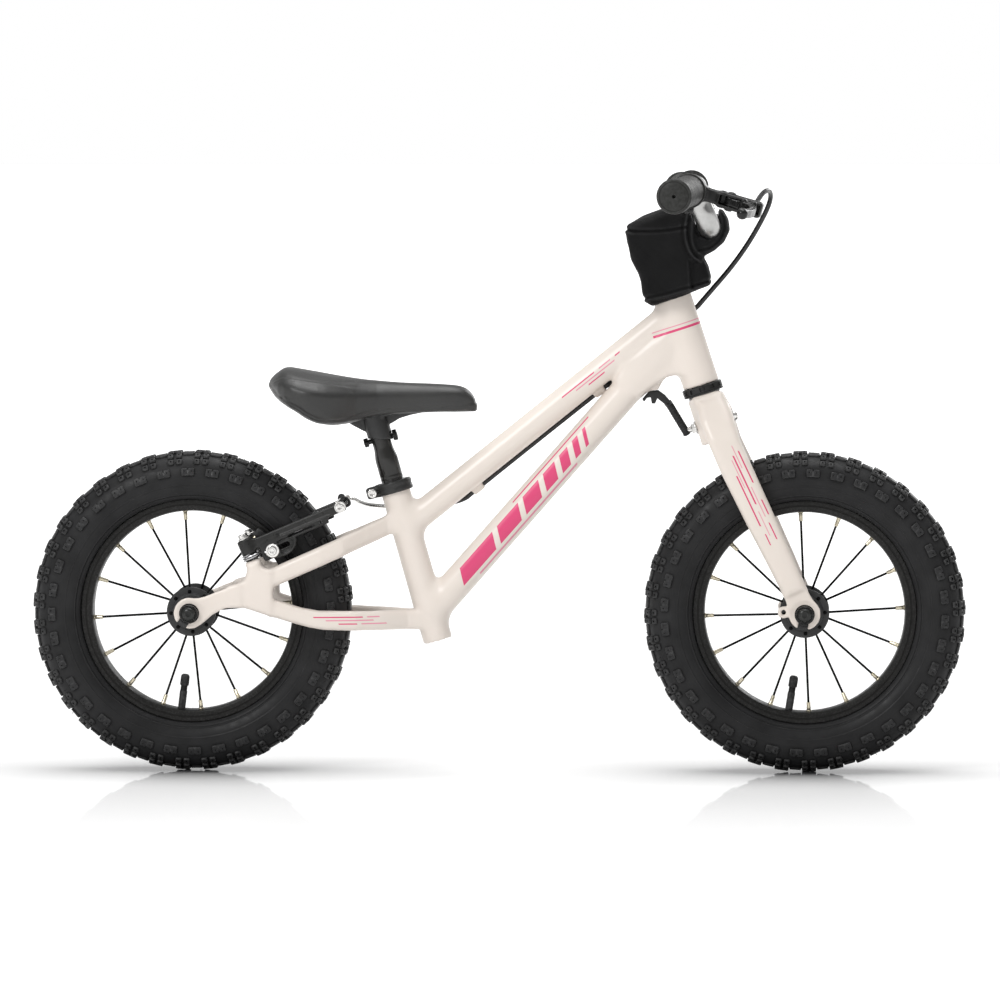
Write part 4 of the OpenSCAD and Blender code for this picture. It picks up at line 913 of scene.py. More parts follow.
def build_wheel(pre, c, old, body, axle_body, valve, a0):
    c = np.array(c, float)
    # rim
    half = [(109.0, 13.7), (109.25, 14.4), (108.9, 15.0), (108.2, 15.15), (105.0, 14.9), (104.7, 14.55), (104.3, 14.5), (103.9, 14.55), (103.6, 14.85), (100.2, 14.6), (99.0, 14.1), (98.2, 12.6), (97.8, 9.0), (97.6, 4.0)]
    inn = [(99.6, 4.0), (99.8, 7.0), (101, 8.2), (102.6, 12.4), (104.5, 13.2), (107.6, 13.3)]
    prof = half + [(r, -y) for r, y in half[::-1]] + [(r, -y) for r, y in inn[::-1]] + inn + half[:1]
    v, f = lathe_solid(prof, 192)
    B = Build()
    B.add(xf(v, WX, c), f)
    put(B.make(pre + "_rim_ring", [M_RIM], ang=28), body, "black_metal", pre + "_rim")
    # spokes and nipples
    B = Build()
    for k in range(16):
        a = math.radians(a0 + k * 22.5)
        m = 1 if k % 2 == 0 else -1
        ur = np.array([math.cos(a), math.sin(a), 0.0])
        z = np.array([0, 0, 1.0])
        p = [ur * 19.8 + z * m * 29.2, ur * 19.8 + z * m * 28.9, ur * 19.8 + z * m * 28.2, ur * 19.8 + z * m * 27.8, ur * 19.8 + z * m * 25.6, ur * 20.0 + z * m * 24.3, ur * 20.9 + z * m * 23.5]
        end = ur * 97.2 + z * m * 2.5
        p += [p[-1] + (end - p[-1]) * t for t in (0.04, 0.3, 0.6, 0.9)]
        r = [0.5, 1.5, 1.9, 1.8, 1.15, 1.15, 1.13, 1.12, 1.12, 1.12, 1.12]
        v, f = sweep(p, r, 12, up=(-math.sin(a), math.cos(a), 0.0))
        B.add(xf(v, WX, c), f, 0)
        d = unit(end - p[6])
        Rn = basis(d)
        n0 = end - d * 8.9
        sq = lathe([(1.15, 0), (1.75, 0.35), (1.9, 0.8), (1.9, 4.6)], 16)
        v = np.concatenate([sq, lathe([(2.0, 4.9), (2.0, 8.0), (2.5, 8.5), (2.5, 9.6)], 16)])
        B.add(xf(xf(v, Rn, n0), WX, c), rings_to_faces(8, 16), 1)
    put(B.make(pre + "_spoke_set", [M_SPOKE, M_BRASS], ang=40), body, "black_steel", pre + "_spokes")
    # hub shell
    hp = [(6.6, 0.0), (11.6, 0.0), (11.6, 14.0), (12.2, 19.0), (13.8, 23.0), (16.0, 24.3), (23.4, 24.5), (24.0, 25.0), (24.0, 27.2), (23.5, 27.7), (18.6, 27.9), (18.0, 28.4), (17.6, 31.2), (16.6, 32.0), (13.2, 32.0), (12.7, 31.6), (12.7, 31.0), (6.6, 31.0)]
    prof = [(r, -z) for r, z in hp[::-1]] + hp[1:] + [hp[0]]
    prof = [(r, z) for r, z in hp[::-1][:-1]]
    full = [(r, z) for r, z in hp[1:]] + [(6.6, -31.0)] 
    loop = [(r, -z) for r, z in hp[:0:-1]] + [(r, z) for r, z in hp[1:]]
    loop = loop + loop[:1]
    v, f = lathe_solid(loop, 96)
    B = Build()
    B.add(xf(v, WX, c), f)
    for m in (1, -1):
        # sealed bearing face
        v, f = lathe_solid([(5.2, 29.2), (12.6, 29.2), (12.6, 30.4), (11.8, 30.8), (7.0, 30.8), (6.6, 30.3), (5.2, 30.3), (5.2, 29.2)], 64)
        v = v * [1, 1, m]
        if m < 0:
            f = [tuple(reversed(q)) for q in f]
        B.add(xf(v, WX, c), f, 1)
    put(B.make(pre + "_hub_shell", [M_HUB, M_RUB], ang=35), body, "black_metal", pre + "_hub", pre + "_bearings")
    # valve with its cap, and the tube's body behind it
    a = math.radians(valve)
    d = -np.array([math.cos(a), math.sin(a), 0.0])
    B = Build()
    v, f = lathe_solid([(0.2, 0.0), (3.7, 0.0), (3.7, 33.0), (3.3, 34.0), (3.3, 38.6), (4.05, 38.9), (4.15, 39.8), (4.15, 47.4), (3.6, 49.2), (2.4, 50.0), (0.2, 50.1)], 32)
    w = lathe([(0.2, 0.0), (3.7, 0.0), (3.7, 33.0), (3.3, 34.0), (3.3, 38.6), (4.05, 38.9), (4.15, 39.8), (4.15, 47.4), (3.6, 49.2), (2.4, 50.0), (0.2, 50.1)], 32)
    ang = np.arctan2(v[:, 1], v[:, 0])
    rib = (v[:, 2] > 39) & (v[:, 2] < 48)
    sc = np.where(rib, 1 + 0.045 * np.cos(16 * ang), 1.0)
    v = v * np.stack([sc, sc, np.ones_like(sc)], 1)
    Rn = basis(d)
    B.add(xf(xf(v, Rn, -d * 114.0), WX, c), f)
    tor = [(129 + 17.5 * math.cos(t), 17.5 * math.sin(t)) for t in np.linspace(0, 2 * math.pi, 25)[:-1]]
    v, f = lathe_solid(tor + tor[:1], 72)
    B.add(xf(v, WX, c), f)
    put(B.make(pre + "_tube_valve", [M_RUB], ang=40), body, "soft_rubber", pre + "_inner_tube")
    # axle, cones and nuts on the frame side
    B = Build()
    v, f = lathe_solid([(0.2, -old / 2 - 11), (4.4, -old / 2 - 11), (4.95, -old / 2 - 10.4), (4.95, old / 2 + 10.4), (4.4, old / 2 + 11), (0.2, old / 2 + 11)], 40)
    B.add(xf(v, WX, c), f)
    for m in (1, -1):
        e = old / 2 - 0.05
        v, f = lathe_solid([(5.0, 32.6), (8.0, 32.6), (8.4, 33.0), (8.4, e - 2.6), (8.0, e - 2.3), (7.2, e - 2.2), (7.2, e - 1.9), (8.2, e - 1.8), (8.4, e - 1.5), (8.4, e - 0.3), (8.1, e), (5.0, e), (5.0, 32.6)], 48)
        v = v * [1, 1, m]
        if m < 0:
            f = [tuple(reversed(q)) for q in f]
        B.add(xf(v, WX, c), f)
    put(B.make(pre + "_axle_set", [M_STEEL], ang=35), axle_body, "bright_steel", pre + "_axle")
    B = Build()
    nutp = [(5.0, 0.0), (9.6, 0.0), (9.8, 0.25), (9.8, 1.35), (9.5, 1.7), (8.9, 1.75), (8.7, 2.1), (8.7, 6.6), (8.45, 7.3), (7.9, 7.8), (7.3, 7.9), (7.0, 7.6), (6.8, 7.6), (6.6, 8.0), (6.5, 9.0), (6.0, 10.2), (5.0, 11.1), (3.9, 11.6), (3.0, 11.75), (2.6, 11.7), (2.55, 11.3), (2.5, 8.6), (0.2, 8.4)]
    for m in (1, -1):
        p = [(0.2, 0.0)] + nutp
        v, f = lathe_solid(p, 72)
        ang = np.arctan2(v[:, 1], v[:, 0])
        hexr = 1.0 / np.maximum(np.cos((ang % (math.pi / 3)) - math.pi / 6), 0.5)
        q = np.hypot(v[:, 0], v[:, 1])
        inside = (q < 2.56) & (v[:, 2] > 8) & (q > 0.5)
        sc = np.where(inside, hexr * 0.96, 1.0)
        fl = (q > 8.2) & (v[:, 2] > 1.8) & (v[:, 2] < 7.4)
        sc = np.where(fl, 1 + 0.012 * np.cos(24 * ang), sc)
        v = v * np.stack([sc, sc, np.ones_like(sc)], 1)
        v = v + [0, 0, old / 2 + 4.95]
        v = v * [1, 1, m]
        if m < 0:
            f = [tuple(reversed(t)) for t in f]
        B.add(xf(v, WX, c), f)
    o = B.make(pre + "_nut_pair", [M_NUT, M_FACE], ang=30)
    for q in o.data.polygons:
        if math.hypot(q.center[0] * 1000 - c[0], q.center[2] * 1000 - c[2]) < 7.0 and abs(q.center[1]) * 1000 > old / 2 + 12:
            q.material_index = 1
    put(o, axle_body, "black_steel", pre + "_axle_nuts")

build_frame()
build_fork()
build_tyre("front_tread", (300, 0, 157.5), "front_wheel", "front_tyre", 0.03)
build_tyre("rear_tread", (-300, 0, 157.5), "rear_wheel", "rear_tyre", 0.11)
build_wheel("front", (300, 0, 157.5), 80.0, "front_wheel", "steering", 261, 2.5)
build_wheel("rear", (-300, 0, 157.5), 95.0, "rear_wheel", "frame", 263, 4.5)
# ------------------------------------------------------------------ frames for the small parts
YV = np.array([0.0, 1.0, 0.0])
EYE = np.eye(3)
R_ST = np.stack([SX, YV, SU], 1)
R_SEAT = np.stack([TX, YV, TU], 1)
BAR_G = np.array([191.5, -66.0, 571.8])
R_G = rot("z", -6.5) @ rot("x", 91.8)
R_L = R_G @ rot("z", -16.0)
CB, SB = math.cos(math.radians(22.9)), math.sin(math.radians(22.9))
R_BOSS = np.stack([[CB, 0, SB], YV, [-SB, 0, CB]], 1)
BOSS_R = np.array([-237.5, -40.0, 207.0])
MIR = np.diag([1.0, -1.0, 1.0])

def place(o, R, t, mirror=False):
    """Moves a mesh built in a local frame (millimetres) into the row frame."""
    R, t = np.asarray(R, float), np.asarray(t, float)
    if mirror:
        R, t = MIR @ R, MIR @ t
    M = np.eye(4)
    M[:3, :3] = R
    M[:3, 3] = t * 0.001
    o.data.transform(Matrix(M.tolist()))
    if np.linalg.det(R) < 0:
        o.data.flip_normals()
    return o

def hexa(ang):
    """Radius of a hexagon of corner radius 1 at an angle."""
    return math.cos(math.pi / 6) / np.cos((ang % (math.pi / 3)) - math.pi / 6)

def turn(B, prof, seg, R=EYE, t=(0, 0, 0), m=0, mod=None):
    v, f = lathe_solid(prof, seg)
    if mod is not None:
        ang, q = np.arctan2(v[:, 1], v[:, 0]), np.hypot(v[:, 0], v[:, 1])
        sc = mod(ang, q, v[:, 2])
        v = v * np.stack([sc, sc, np.ones_like(sc)], 1)
    R = np.asarray(R, float)
    if np.linalg.det(R) < 0:
        f = [tuple(reversed(q)) for q in f]
    B.add(xf(v, R, t), f, m)

def socket_head(B, R, t, r, h, hr, m=0, depth=2.4):
    """Cap screw head rising along local +Z from t, with a hexagon socket and a knurled rim."""
    prof = [(0.2, 0), (r - 0.35, 0), (r, 0.3), (r, h - 0.7), (r - 0.2, h - 0.25), (r - 0.6, h), (hr + 0.35, h), (hr, h - 0.3), (hr * 0.98, h - depth), (0.2, h - depth - 0.4)]
    def mod(a, q, z):
        s = np.where((q <= hr + 0.02) & (q > 0.5) & (z > 0.6), hexa(a) * 1.1, 1.0)
        return np.where((q > r - 0.05) & (z > 0.2), 1 + 0.012 * np.cos(30 * a), s)
    turn(B, prof, 60, R, t, m, mod)

def hex_nut(B, R, t, r, h, bore, m=0):
    prof = [(bore, 0.2), (bore + 0.3, 0), (r * 0.9, 0), (r, 0.5), (r, h - 0.5), (r * 0.9, h), (bore + 0.35, h), (bore, h - 0.35), (bore, 0.2)]
    turn(B, prof, 60, R, t, m, lambda a, q, z: np.where(q > r * 0.85, hexa(a), 1.0))

def line_dist(P, Q, pts):
    """Distance to an open line."""
    d = np.full(np.broadcast(P, Q).shape, 1e9, np.float32)
    for (ax, ay), (bx, by) in zip(pts[:-1], pts[1:]):
        ex, ey = bx - ax, by - ay
        wx, wy = P - ax, Q - ay
        t = np.clip((wx * ex + wy * ey) / (ex * ex + ey * ey), 0, 1)
        d = np.minimum(d, (wx - ex * t) ** 2 + (wy - ey * t) ** 2)
    return np.sqrt(d)

def sstep(x, a, b):
    t = np.clip((x - a) / (b - a), 0, 1)
    return t * t * (3 - 2 * t)

# ------------------------------------------------------------------ headset, stem, bar
def build_headset():
    B = Build()
    notch = lambda a: sstep(np.cos(8 * a), 0.72, 0.86)
    low = [(16.6, -8.5), (19.2, -8.5), (19.8, -8.2), (20.0, -7.7), (20.0, -7.1), (19.5, -6.8), (19.5, -6.4), (20.0, -6.1), (20.0, -5.6), (20.0, -5.5), (20.0, -1.5), (20.0, -1.4), (19.9, -0.7), (19.5, -0.2), (19.0, 0.0), (15.0, 0.0), (14.97, 7.7), (14.7, 8), (13.4, 8), (13.4, -1.5), (16.6, -1.5), (16.6, -8.5)]
    turn(B, low, 240, R_ST, HEAD_O, 0, lambda a, q, z: np.where((q > 18.5) & (z < -1.45) & (z > -5.55), 1 - 0.075 * sstep(np.cos(12 * a), 0.1, 0.3), 1.0))
    up = [(13.4, -8), (14.7, -8), (14.97, -7.7), (15.0, 0), (18.8, 0), (19.1, 0.3), (19.5, 2.0), (19.5, 3.2), (19.0, 3.5), (19.0, 3.9), (19.5, 4.2), (19.5, 5.9), (18.9, 7.3), (18.4, 7.9), (16.6, 8.0), (16.6, 1.5), (13.4, 1.5), (13.4, -8)]
    turn(B, up, 192, R_ST, st_pt(92), 0, lambda a, q, z: np.where((q > 18.2) & (z > 4.1), 1 - 0.05 * notch(a), 1.0))
    put(B.make("headset_rings", [M_BLACK], ang=30), "frame", "black_steel", "headset_cups")

def bar_path():
    r = 42.65 / 2
    ln = math.radians(22.17)
    C = np.array([207.6, 0, 532.3])
    at = lambda y, z: C + np.array([-math.sin(ln) * z, y, math.cos(ln) * z])
    p = [at(y, 0) for y in np.linspace(0, 23.35, 6)[:-1]]
    p += [at(23.35 + r * math.cos(math.radians(a)), r + r * math.sin(math.radians(a))) for a in np.linspace(-90, 0, 15)[:-1]]
    p += [at(66 + r * math.cos(math.radians(a)), r + r * math.sin(math.radians(a))) for a in np.linspace(180, 90, 15)]
    z = MIR @ R_G[:, 2]
    p += [MIR @ BAR_G + z * s for s in (4, 9, 16, 40, 80, 120, 139)]
    p = np.array(p)
    return np.concatenate([(p[1:] * [1, -1, 1])[::-1], p])

def build_cockpit():
    v, f = sweep(bar_path(), 11.1, 40, up=(0, 0, 1))
    B = Build()
    B.add(v, f)
    put(B.make("bar_tube", [M_CHROME], ang=40), "steering", "bright_steel", "handlebar")
    # stem
    F = Field((-20, -25, 98), (76, 25, 161), 0.75)
    F.add(*s_cyl((0, 0, 100.6), (0, 0, 141), 16.5, rnd=1.2))
    F.add(*s_cyl((0, 0, 100.5), (0, 0, 103), 17.0, rnd=0.7), k=0.4)
    F.add(*s_box((25, 0, 133.4), EYE, (24, 13.6, 7.2), 3.0), k=4)
    F.add(*s_cyl((56, -19.8, 143), (56, 19.8, 143), 15.3, rnd=1.4), k=5)
    for y in (-13, 13):
        F.cut(*s_box((24, y * 1.12, 133.4), EYE, (9, 1.6, 3.6), 1.4), k=0.8)
    F.cut(*s_cyl((0, 0, 90), (0, 0, 170), 12.8))
    F.cut(*s_cyl((56, -30, 143), (56, 30, 143), 11.2))
    F.cut(*s_box((40, 0, 133.5), EYE, (16, 30, 0.8), 0.1))
    o = place(F.mesh("stem_body", [M_BLACK], relax=2), R_ST, HEAD_O)
    put(o, "steering", "black_metal", "stem")
    B = Build()
    DN = np.stack([SX, -YV, -SU], 1)
    for y in (-8.5, 8.5):
        socket_head(B, DN, HEAD_O + R_ST @ np.array([32, y, 126]), 4.2, 4.0, 2.0)
        turn(B, [(0.2, 0), (2.45, 0), (2.45, 13.6), (2.0, 14), (0.2, 14)], 20, R_ST, HEAD_O + R_ST @ np.array([32, y, 126]))
    put(B.make("stem_screws", [M_BLACK], ang=35), "steering", "black_steel", "stem_bolts")
    B = Build()
    turn(B, [(0.2, 120), (3, 120), (3, 141.1), (3.4, 141.3), (14.6, 141.3), (15.4, 141.9), (15.5, 142.6), (15.2, 143.3), (13.8, 144.0), (7.4, 144.6), (6.4, 144.3), (5.6, 144.2), (5.2, 144.4), (5.2, 146.0), (4.8, 146.4), (3.0, 146.4), (2.7, 146.0), (2.65, 144.6), (0.2, 144.4)], 72, R_ST, HEAD_O, 0, lambda a, q, z: np.where((q < 2.8) & (q > 0.5) & (z > 144.5), hexa(a) * 1.08, 1.0))
    put(B.make("cap_disc", [M_BLACK], ang=32), "steering", "black_metal", "top_cap")
    # grips
    gp = [(0.2, 139.95), (10.9, 139.95), (11.12, 139.6), (11.12, 37.2), (16.2, 37.2), (16.8, 37.5), (17.0, 38.1), (17.0, 40.1), (16.7, 40.7), (16.0, 41.0), (15.5, 41.2), (15.25, 41.8)]
    for z in np.arange(44.0, 130.0, 3.4):
        gp += [(15.25, z), (15.25, z + 2.5), (15.08, z + 2.75), (15.08, z + 3.15)]
    gp += [(15.25, 131.0), (15.3, 133.0), (15.9, 133.6), (16.6, 133.9), (16.9, 134.4), (17.0, 135.0), (17.0, 137.2), (16.8, 137.7), (15.2, 138.0), (15.1, 138.6), (16.6, 138.95), (16.95, 139.2), (17.0, 139.8), (17.0, 144.7), (16.8, 145.6), (16.2, 146.4), (15.3, 146.9), (14.5, 147.0), (14.2, 146.8), (13.8, 146.8), (13.5, 147.0), (3.0, 147.0), (2.2, 146.9), (1.7, 146.4), (1.6, 145.6), (1.6, 141.2), (0.2, 141.2)]
    for name, node, mi in (("grip_sleeve_right", "grip_right", False), ("grip_sleeve_left", "grip_left", True)):
        B = Build()
        turn(B, gp, 96)
        gv = np.concatenate(B.v)
        B.m = [0 if 41.6 < gv[list(q), 2].mean() < 133.2 else 1 for q in B.f]
        put(place(B.make(name, [M_GRIP, M_GRIP_END], ang=40), R_G, BAR_G, mi), "steering", "soft_rubber", node)

# ------------------------------------------------------------------ lever
def build_lever():
    F = Field((-18, -26, 3), (74, 18, 32), 0.62)
    F.add(*s_cyl((0, 0, 14.1), (0, 0, 28.9), 15.4, rnd=1.3))
    F.add(*s_box((20, 0.5, 21.5), EYE, (14, 6.6, 6.6), 2.6), k=5)
    F.add(*s_box((50, 0, 21.5), EYE, (22, 7.9, 7.4), 3.4), k=4)
    F.add(*s_cyl((60, 0, 6.1), (60, 0, 16), 6.0, rnd=0.8), k=2)
    F.add(*s_box((-0.3, -17.0, 21.5), EYE, (4.5, 6.0, 5.8), 2.0), k=2.5)
    F.cut(*s_box((24, 7.4, 21.5), EYE, (8, 1.6, 3.2), 1.2), k=1)
    F.cut(*s_box((50, 8.3, 21.5), EYE, (15, 1.1, 3.0), 1.0), k=0.8)
    F.cut(*s_cyl((0, 0, 8), (0, 0, 36), 11.2))
    F.cut(*s_box((-0.25, -19, 21), EYE, (0.8, 12, 12), 0.1))
    F.cut(*s_cyl((60, 0, 0), (60, 0, 40), 3.75))
    F.cut(*s_box((49.8, 0, 26.2), EYE, (20.2, 4.7, 10), 0.8))
    o = place(F.mesh("lever_perch", [M_BLACK], relax=2), R_L, BAR_G)
    put(o, "steering", "black_plastic", "lever_body")
    B = Build()
    FX = np.stack([[0, 1, 0], [0, 0, 1], [1, 0, 0]], 1).astype(float)   # local +Z along x
    socket_head(B, R_L @ FX, BAR_G + R_L @ np.array([4.2, -18.2, 21.5]), 3.6, 3.6, 1.8, 0)
    UY = np.stack([[1, 0, 0], [0, 0, -1], [0, 1, 0]], 1).astype(float)  # local +Z along y
    for s in (1, -1):
        U = UY if s > 0 else np.stack([[1, 0, 0], [0, 0, 1], [0, -1, 0]], 1).astype(float)
        turn(B, [(0.2, 0), (4.0, 0), (4.0, 0.5), (3.3, 1.3), (2.0, 1.7), (1.1, 1.75), (0.9, 1.4), (0.2, 1.3)], 28, R_L @ U, BAR_G + R_L @ np.array([40, 7.8 * s, 22]), 0)
    put(B.make("perch_screws", [M_BLACK], ang=35), "steering", "black_plastic")
    # blade
    F = Field((30, -10, 13), (75, 10, 125), 0.62)
    blade = [[37, 26], [36, 20], [42, 17.6], [61.5, 17.6], [65.6, 22], [66.2, 34], [68.3, 46], [70.3, 60], [71.3, 78], [70.3, 96], [67.6, 115], [61, 115], [63.2, 96], [64.2, 78], [63.7, 60], [61.2, 48], [57.2, 38], [48, 30]]
    F.add(*s_side(blade, -4.2, 4.2, 1.6))
    F.add(*s_cyl((40, -4.2, 22), (40, 4.2, 22), 5.4, rnd=0.6), k=1)
    # waisted knuckle plate in front of the perch
    kp = [(51.5, 7.6), (55.0, 8.2), (57.2, 6.4), (60.2, 6.0), (63.0, 7.8), (66.4, 7.6), (67.8, 3.6), (66.2, 0), (67.8, -3.6), (66.4, -7.6), (63.0, -7.8), (60.2, -6.0), (57.2, -6.4), (55.0, -8.2), (51.5, -7.6), (50.4, -3.4), (52.2, 0), (50.4, 3.4)]
    K = np.array(kp)
    def plate(X, Y, Z):
        d = poly2(np.broadcast_to(X, (X.shape[0], Y.shape[1], 1)).astype(np.float32), np.broadcast_to(Y, (X.shape[0], Y.shape[1], 1)).astype(np.float32), kp)
        return smax(d + 0.2, np.abs(Z - (33.4 + 0.10 * (X - 58))) - 2.4, 1.4)
    F.add(plate, (np.array([50, -8.4, 30]), np.array([68, 8.4, 37])), k=1.2)
    for z in (54.0, 66.0, 78.0, 90.0, 102.0):
        F.cut(*s_cyl((61.0 - (2.6 if z < 60 else 0) - (0.8 if z > 95 else 0), -9, z), (61.0 - (2.6 if z < 60 else 0) - (0.8 if z > 95 else 0), 9, z), 3.6), k=1.5)
    for y in (-4.6, 4.6):
        F.cut(*s_box((67.4, y, 78), EYE, (1.6, 1.0, 22), 0.8), k=0.8)
    F.add(*s_cap((64, 0, 115.5), (64.2, 0, 117), 5.5), k=2)
    o = place(F.mesh("lever_blade", [M_LEVER], relax=2), R_L, BAR_G)
    put(o, "brake_lever", "black_metal", "brake_lever")
    B = Build()
    turn(B, [(0.2, -7.6), (2.4, -7.6), (2.4, 7.6), (0.2, 7.6)], 28, R_L @ UY, BAR_G + R_L @ np.array([40, 0, 22]))
    put(B.make("lever_pin", [M_STEEL], ang=35), "brake_lever", "black_metal")
    # barrel
    B = Build()
    turn(B, [(2.62, -8), (4.4, -8), (4.7, -7.6), (4.8, -6.6), (4.5, -6.3), (4.6, -5.6), (5.2, -5.2), (5.4, -4.6), (5.4, 0.2), (5.1, 0.7), (4.2, 0.9), (4.2, 1.8), (5.7, 2.0), (6.0, 2.4), (6.0, 5.1), (5.7, 5.5), (3.7, 5.6), (3.5, 6.0), (3.5, 15.6), (3.2, 16), (2.0, 16), (2.0, 3.0), (2.62, 3.0), (2.62, -8)], 80, R_L, BAR_G + R_L @ np.array([60, 0, 0]), 0,
         lambda a, q, z: np.where(((q > 5.0) & (z < 0.5)) | ((q > 5.6) & (z > 2.2)), 1 + 0.035 * np.cos(20 * a), 1.0))
    put(B.make("barrel_knob", [M_BLACK], ang=30), "barrel_adjuster", "black_plastic", "barrel_adjuster")

# ------------------------------------------------------------------ cables
def build_cables():
    loop = [[249.68, -64.86, 555.5], [250.22, -60.1, 555.65], [250.79, -55.13, 555.8], [251.9, -48, 557.4], [254.2, -39, 561.6], [257.6, -29, 566.6], [261.6, -18.5, 570], [265.2, -8, 569.4], [266.4, 0, 563.4], [264.2, 5.4, 555.4], [260.6, 8.4, 547], [254.8, 11, 536], [246.4, 13, 521], [236, 15, 505.5], [223.6, 17.8, 489], [209, 21, 472.6], [195, 23.5, 456]]
    c = catmull(loop, 9)
    for _ in range(60):      # one even curve, no corners
        c[1:-1] = 0.5 * c[1:-1] + 0.25 * (c[:-2] + c[2:])
    r = np.full(len(c), 2.45)
    B = Build()
    v, f = sweep(c, r, 20, up=(0.3, -0.2, 0.9))
    B.add(v, f)
    o = B.make("cable_loop_sleeve", [M_CABLE], ang=60)
    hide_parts("cable_loop")
    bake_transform(o)
    hp = [[195, 23.5, 456], [184, 24, 446], [172, 23.5, 435], [158, 23, 422.5], [144, 22.5, 410], [130, 21, 398.5], [120, 17.5, 390], [112, 9.5, 382.4], [105.0, 6, 377.8], [98.2, 6, 372.6], [83.2, 6, 360.6], [49.2, 6, 333.5], [14.3, 6, 305.5], [-20.6, 6, 277.4], [-26.4, 6, 272.6], [-33, 9, 267.4], [-43, 15.8, 263.4], [-56, 19.8, 260.6], [-74, 20.5, 258.8], [-92, 21.5, 258], [-106, 24.5, 258]]
    c = catmull(hp, 5)
    B = Build()
    v, f = sweep(c, 2.45, 18, up=(0.3, 0.9, 0.1))
    B.add(v, f)
    # ferrule at the noodle end
    d = unit(np.array(hp[-1]) - np.array(hp[-2]))
    turn(B, [(0.2, -9), (2.9, -9), (3.1, -8.6), (3.1, -4.2), (2.85, -4.0), (2.85, -3.6), (3.1, -3.4), (3.1, -0.5), (2.8, 0), (0.2, 0)], 28, basis(d), hp[-1], 1)
    put(B.make("housing_run", [M_CABLE, M_BLACK], ang=50), "frame", "black_plastic", "cable_housing")
    npth = [[-106, 24.5, 258], [-118, 29.5, 258.2], [-130, 37, 259], [-139, 46, 261], [-144, 53, 263], [-150, 55.5, 265], [-154.5, 52, 266.4], [-156, 46.2, 266.6]]
    c = catmull(npth, 8)
    rr = np.full(len(c), 1.95)
    rr[-3:] = [2.05, 1.7, 1.1]
    B = Build()
    v, f = sweep(c, rr, 20, up=(0.1, 0.2, 0.97))
    B.add(v, f)
    o = B.make("noodle_pipe", [M_SILVER], ang=60)
    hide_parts("cable_noodle")
    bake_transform(o)
    # wire from the noodle over both arms, its rubber boot and its crimped end
    B = Build()
    p = [np.array([-156, y, 266.75 - 0.0006 * (40 - y)]) for y in (45.4, 30, 10, -10, -30, -44, -52)]
    v, f = sweep(p, 0.72, 10, up=(0, 0, 1))
    B.add(v, f, 0)
    prof = [(0.2, 8.5), (1.3, 8.5), (1.7, 9.2)]
    for k in range(7):
        y = 10.0 + 3.1 * k
        prof += [(2.2 + 0.12 * k, y), (2.75 + 0.13 * k, y + 0.9), (2.2 + 0.12 * k, y + 1.9)]
    prof += [(2.9, 32.4), (2.9, 34.6), (0.2, 34.6)]
    turn(B, prof, 28, np.stack([[1, 0, 0], [0, 0, -1], [0, 1, 0]], 1).astype(float), (-156, 0, 266.7), 1)
    turn(B, [(0.2, 0), (1.2, 0), (1.3, 0.4), (1.3, 5.6), (0.9, 6.2), (0.2, 6.3)], 16, WX, (-156, -51, 266.7), 0)
    put(B.make("brake_wire", [M_SILVER, M_RUB], ang=35), "brake_arm_left", "bright_steel")

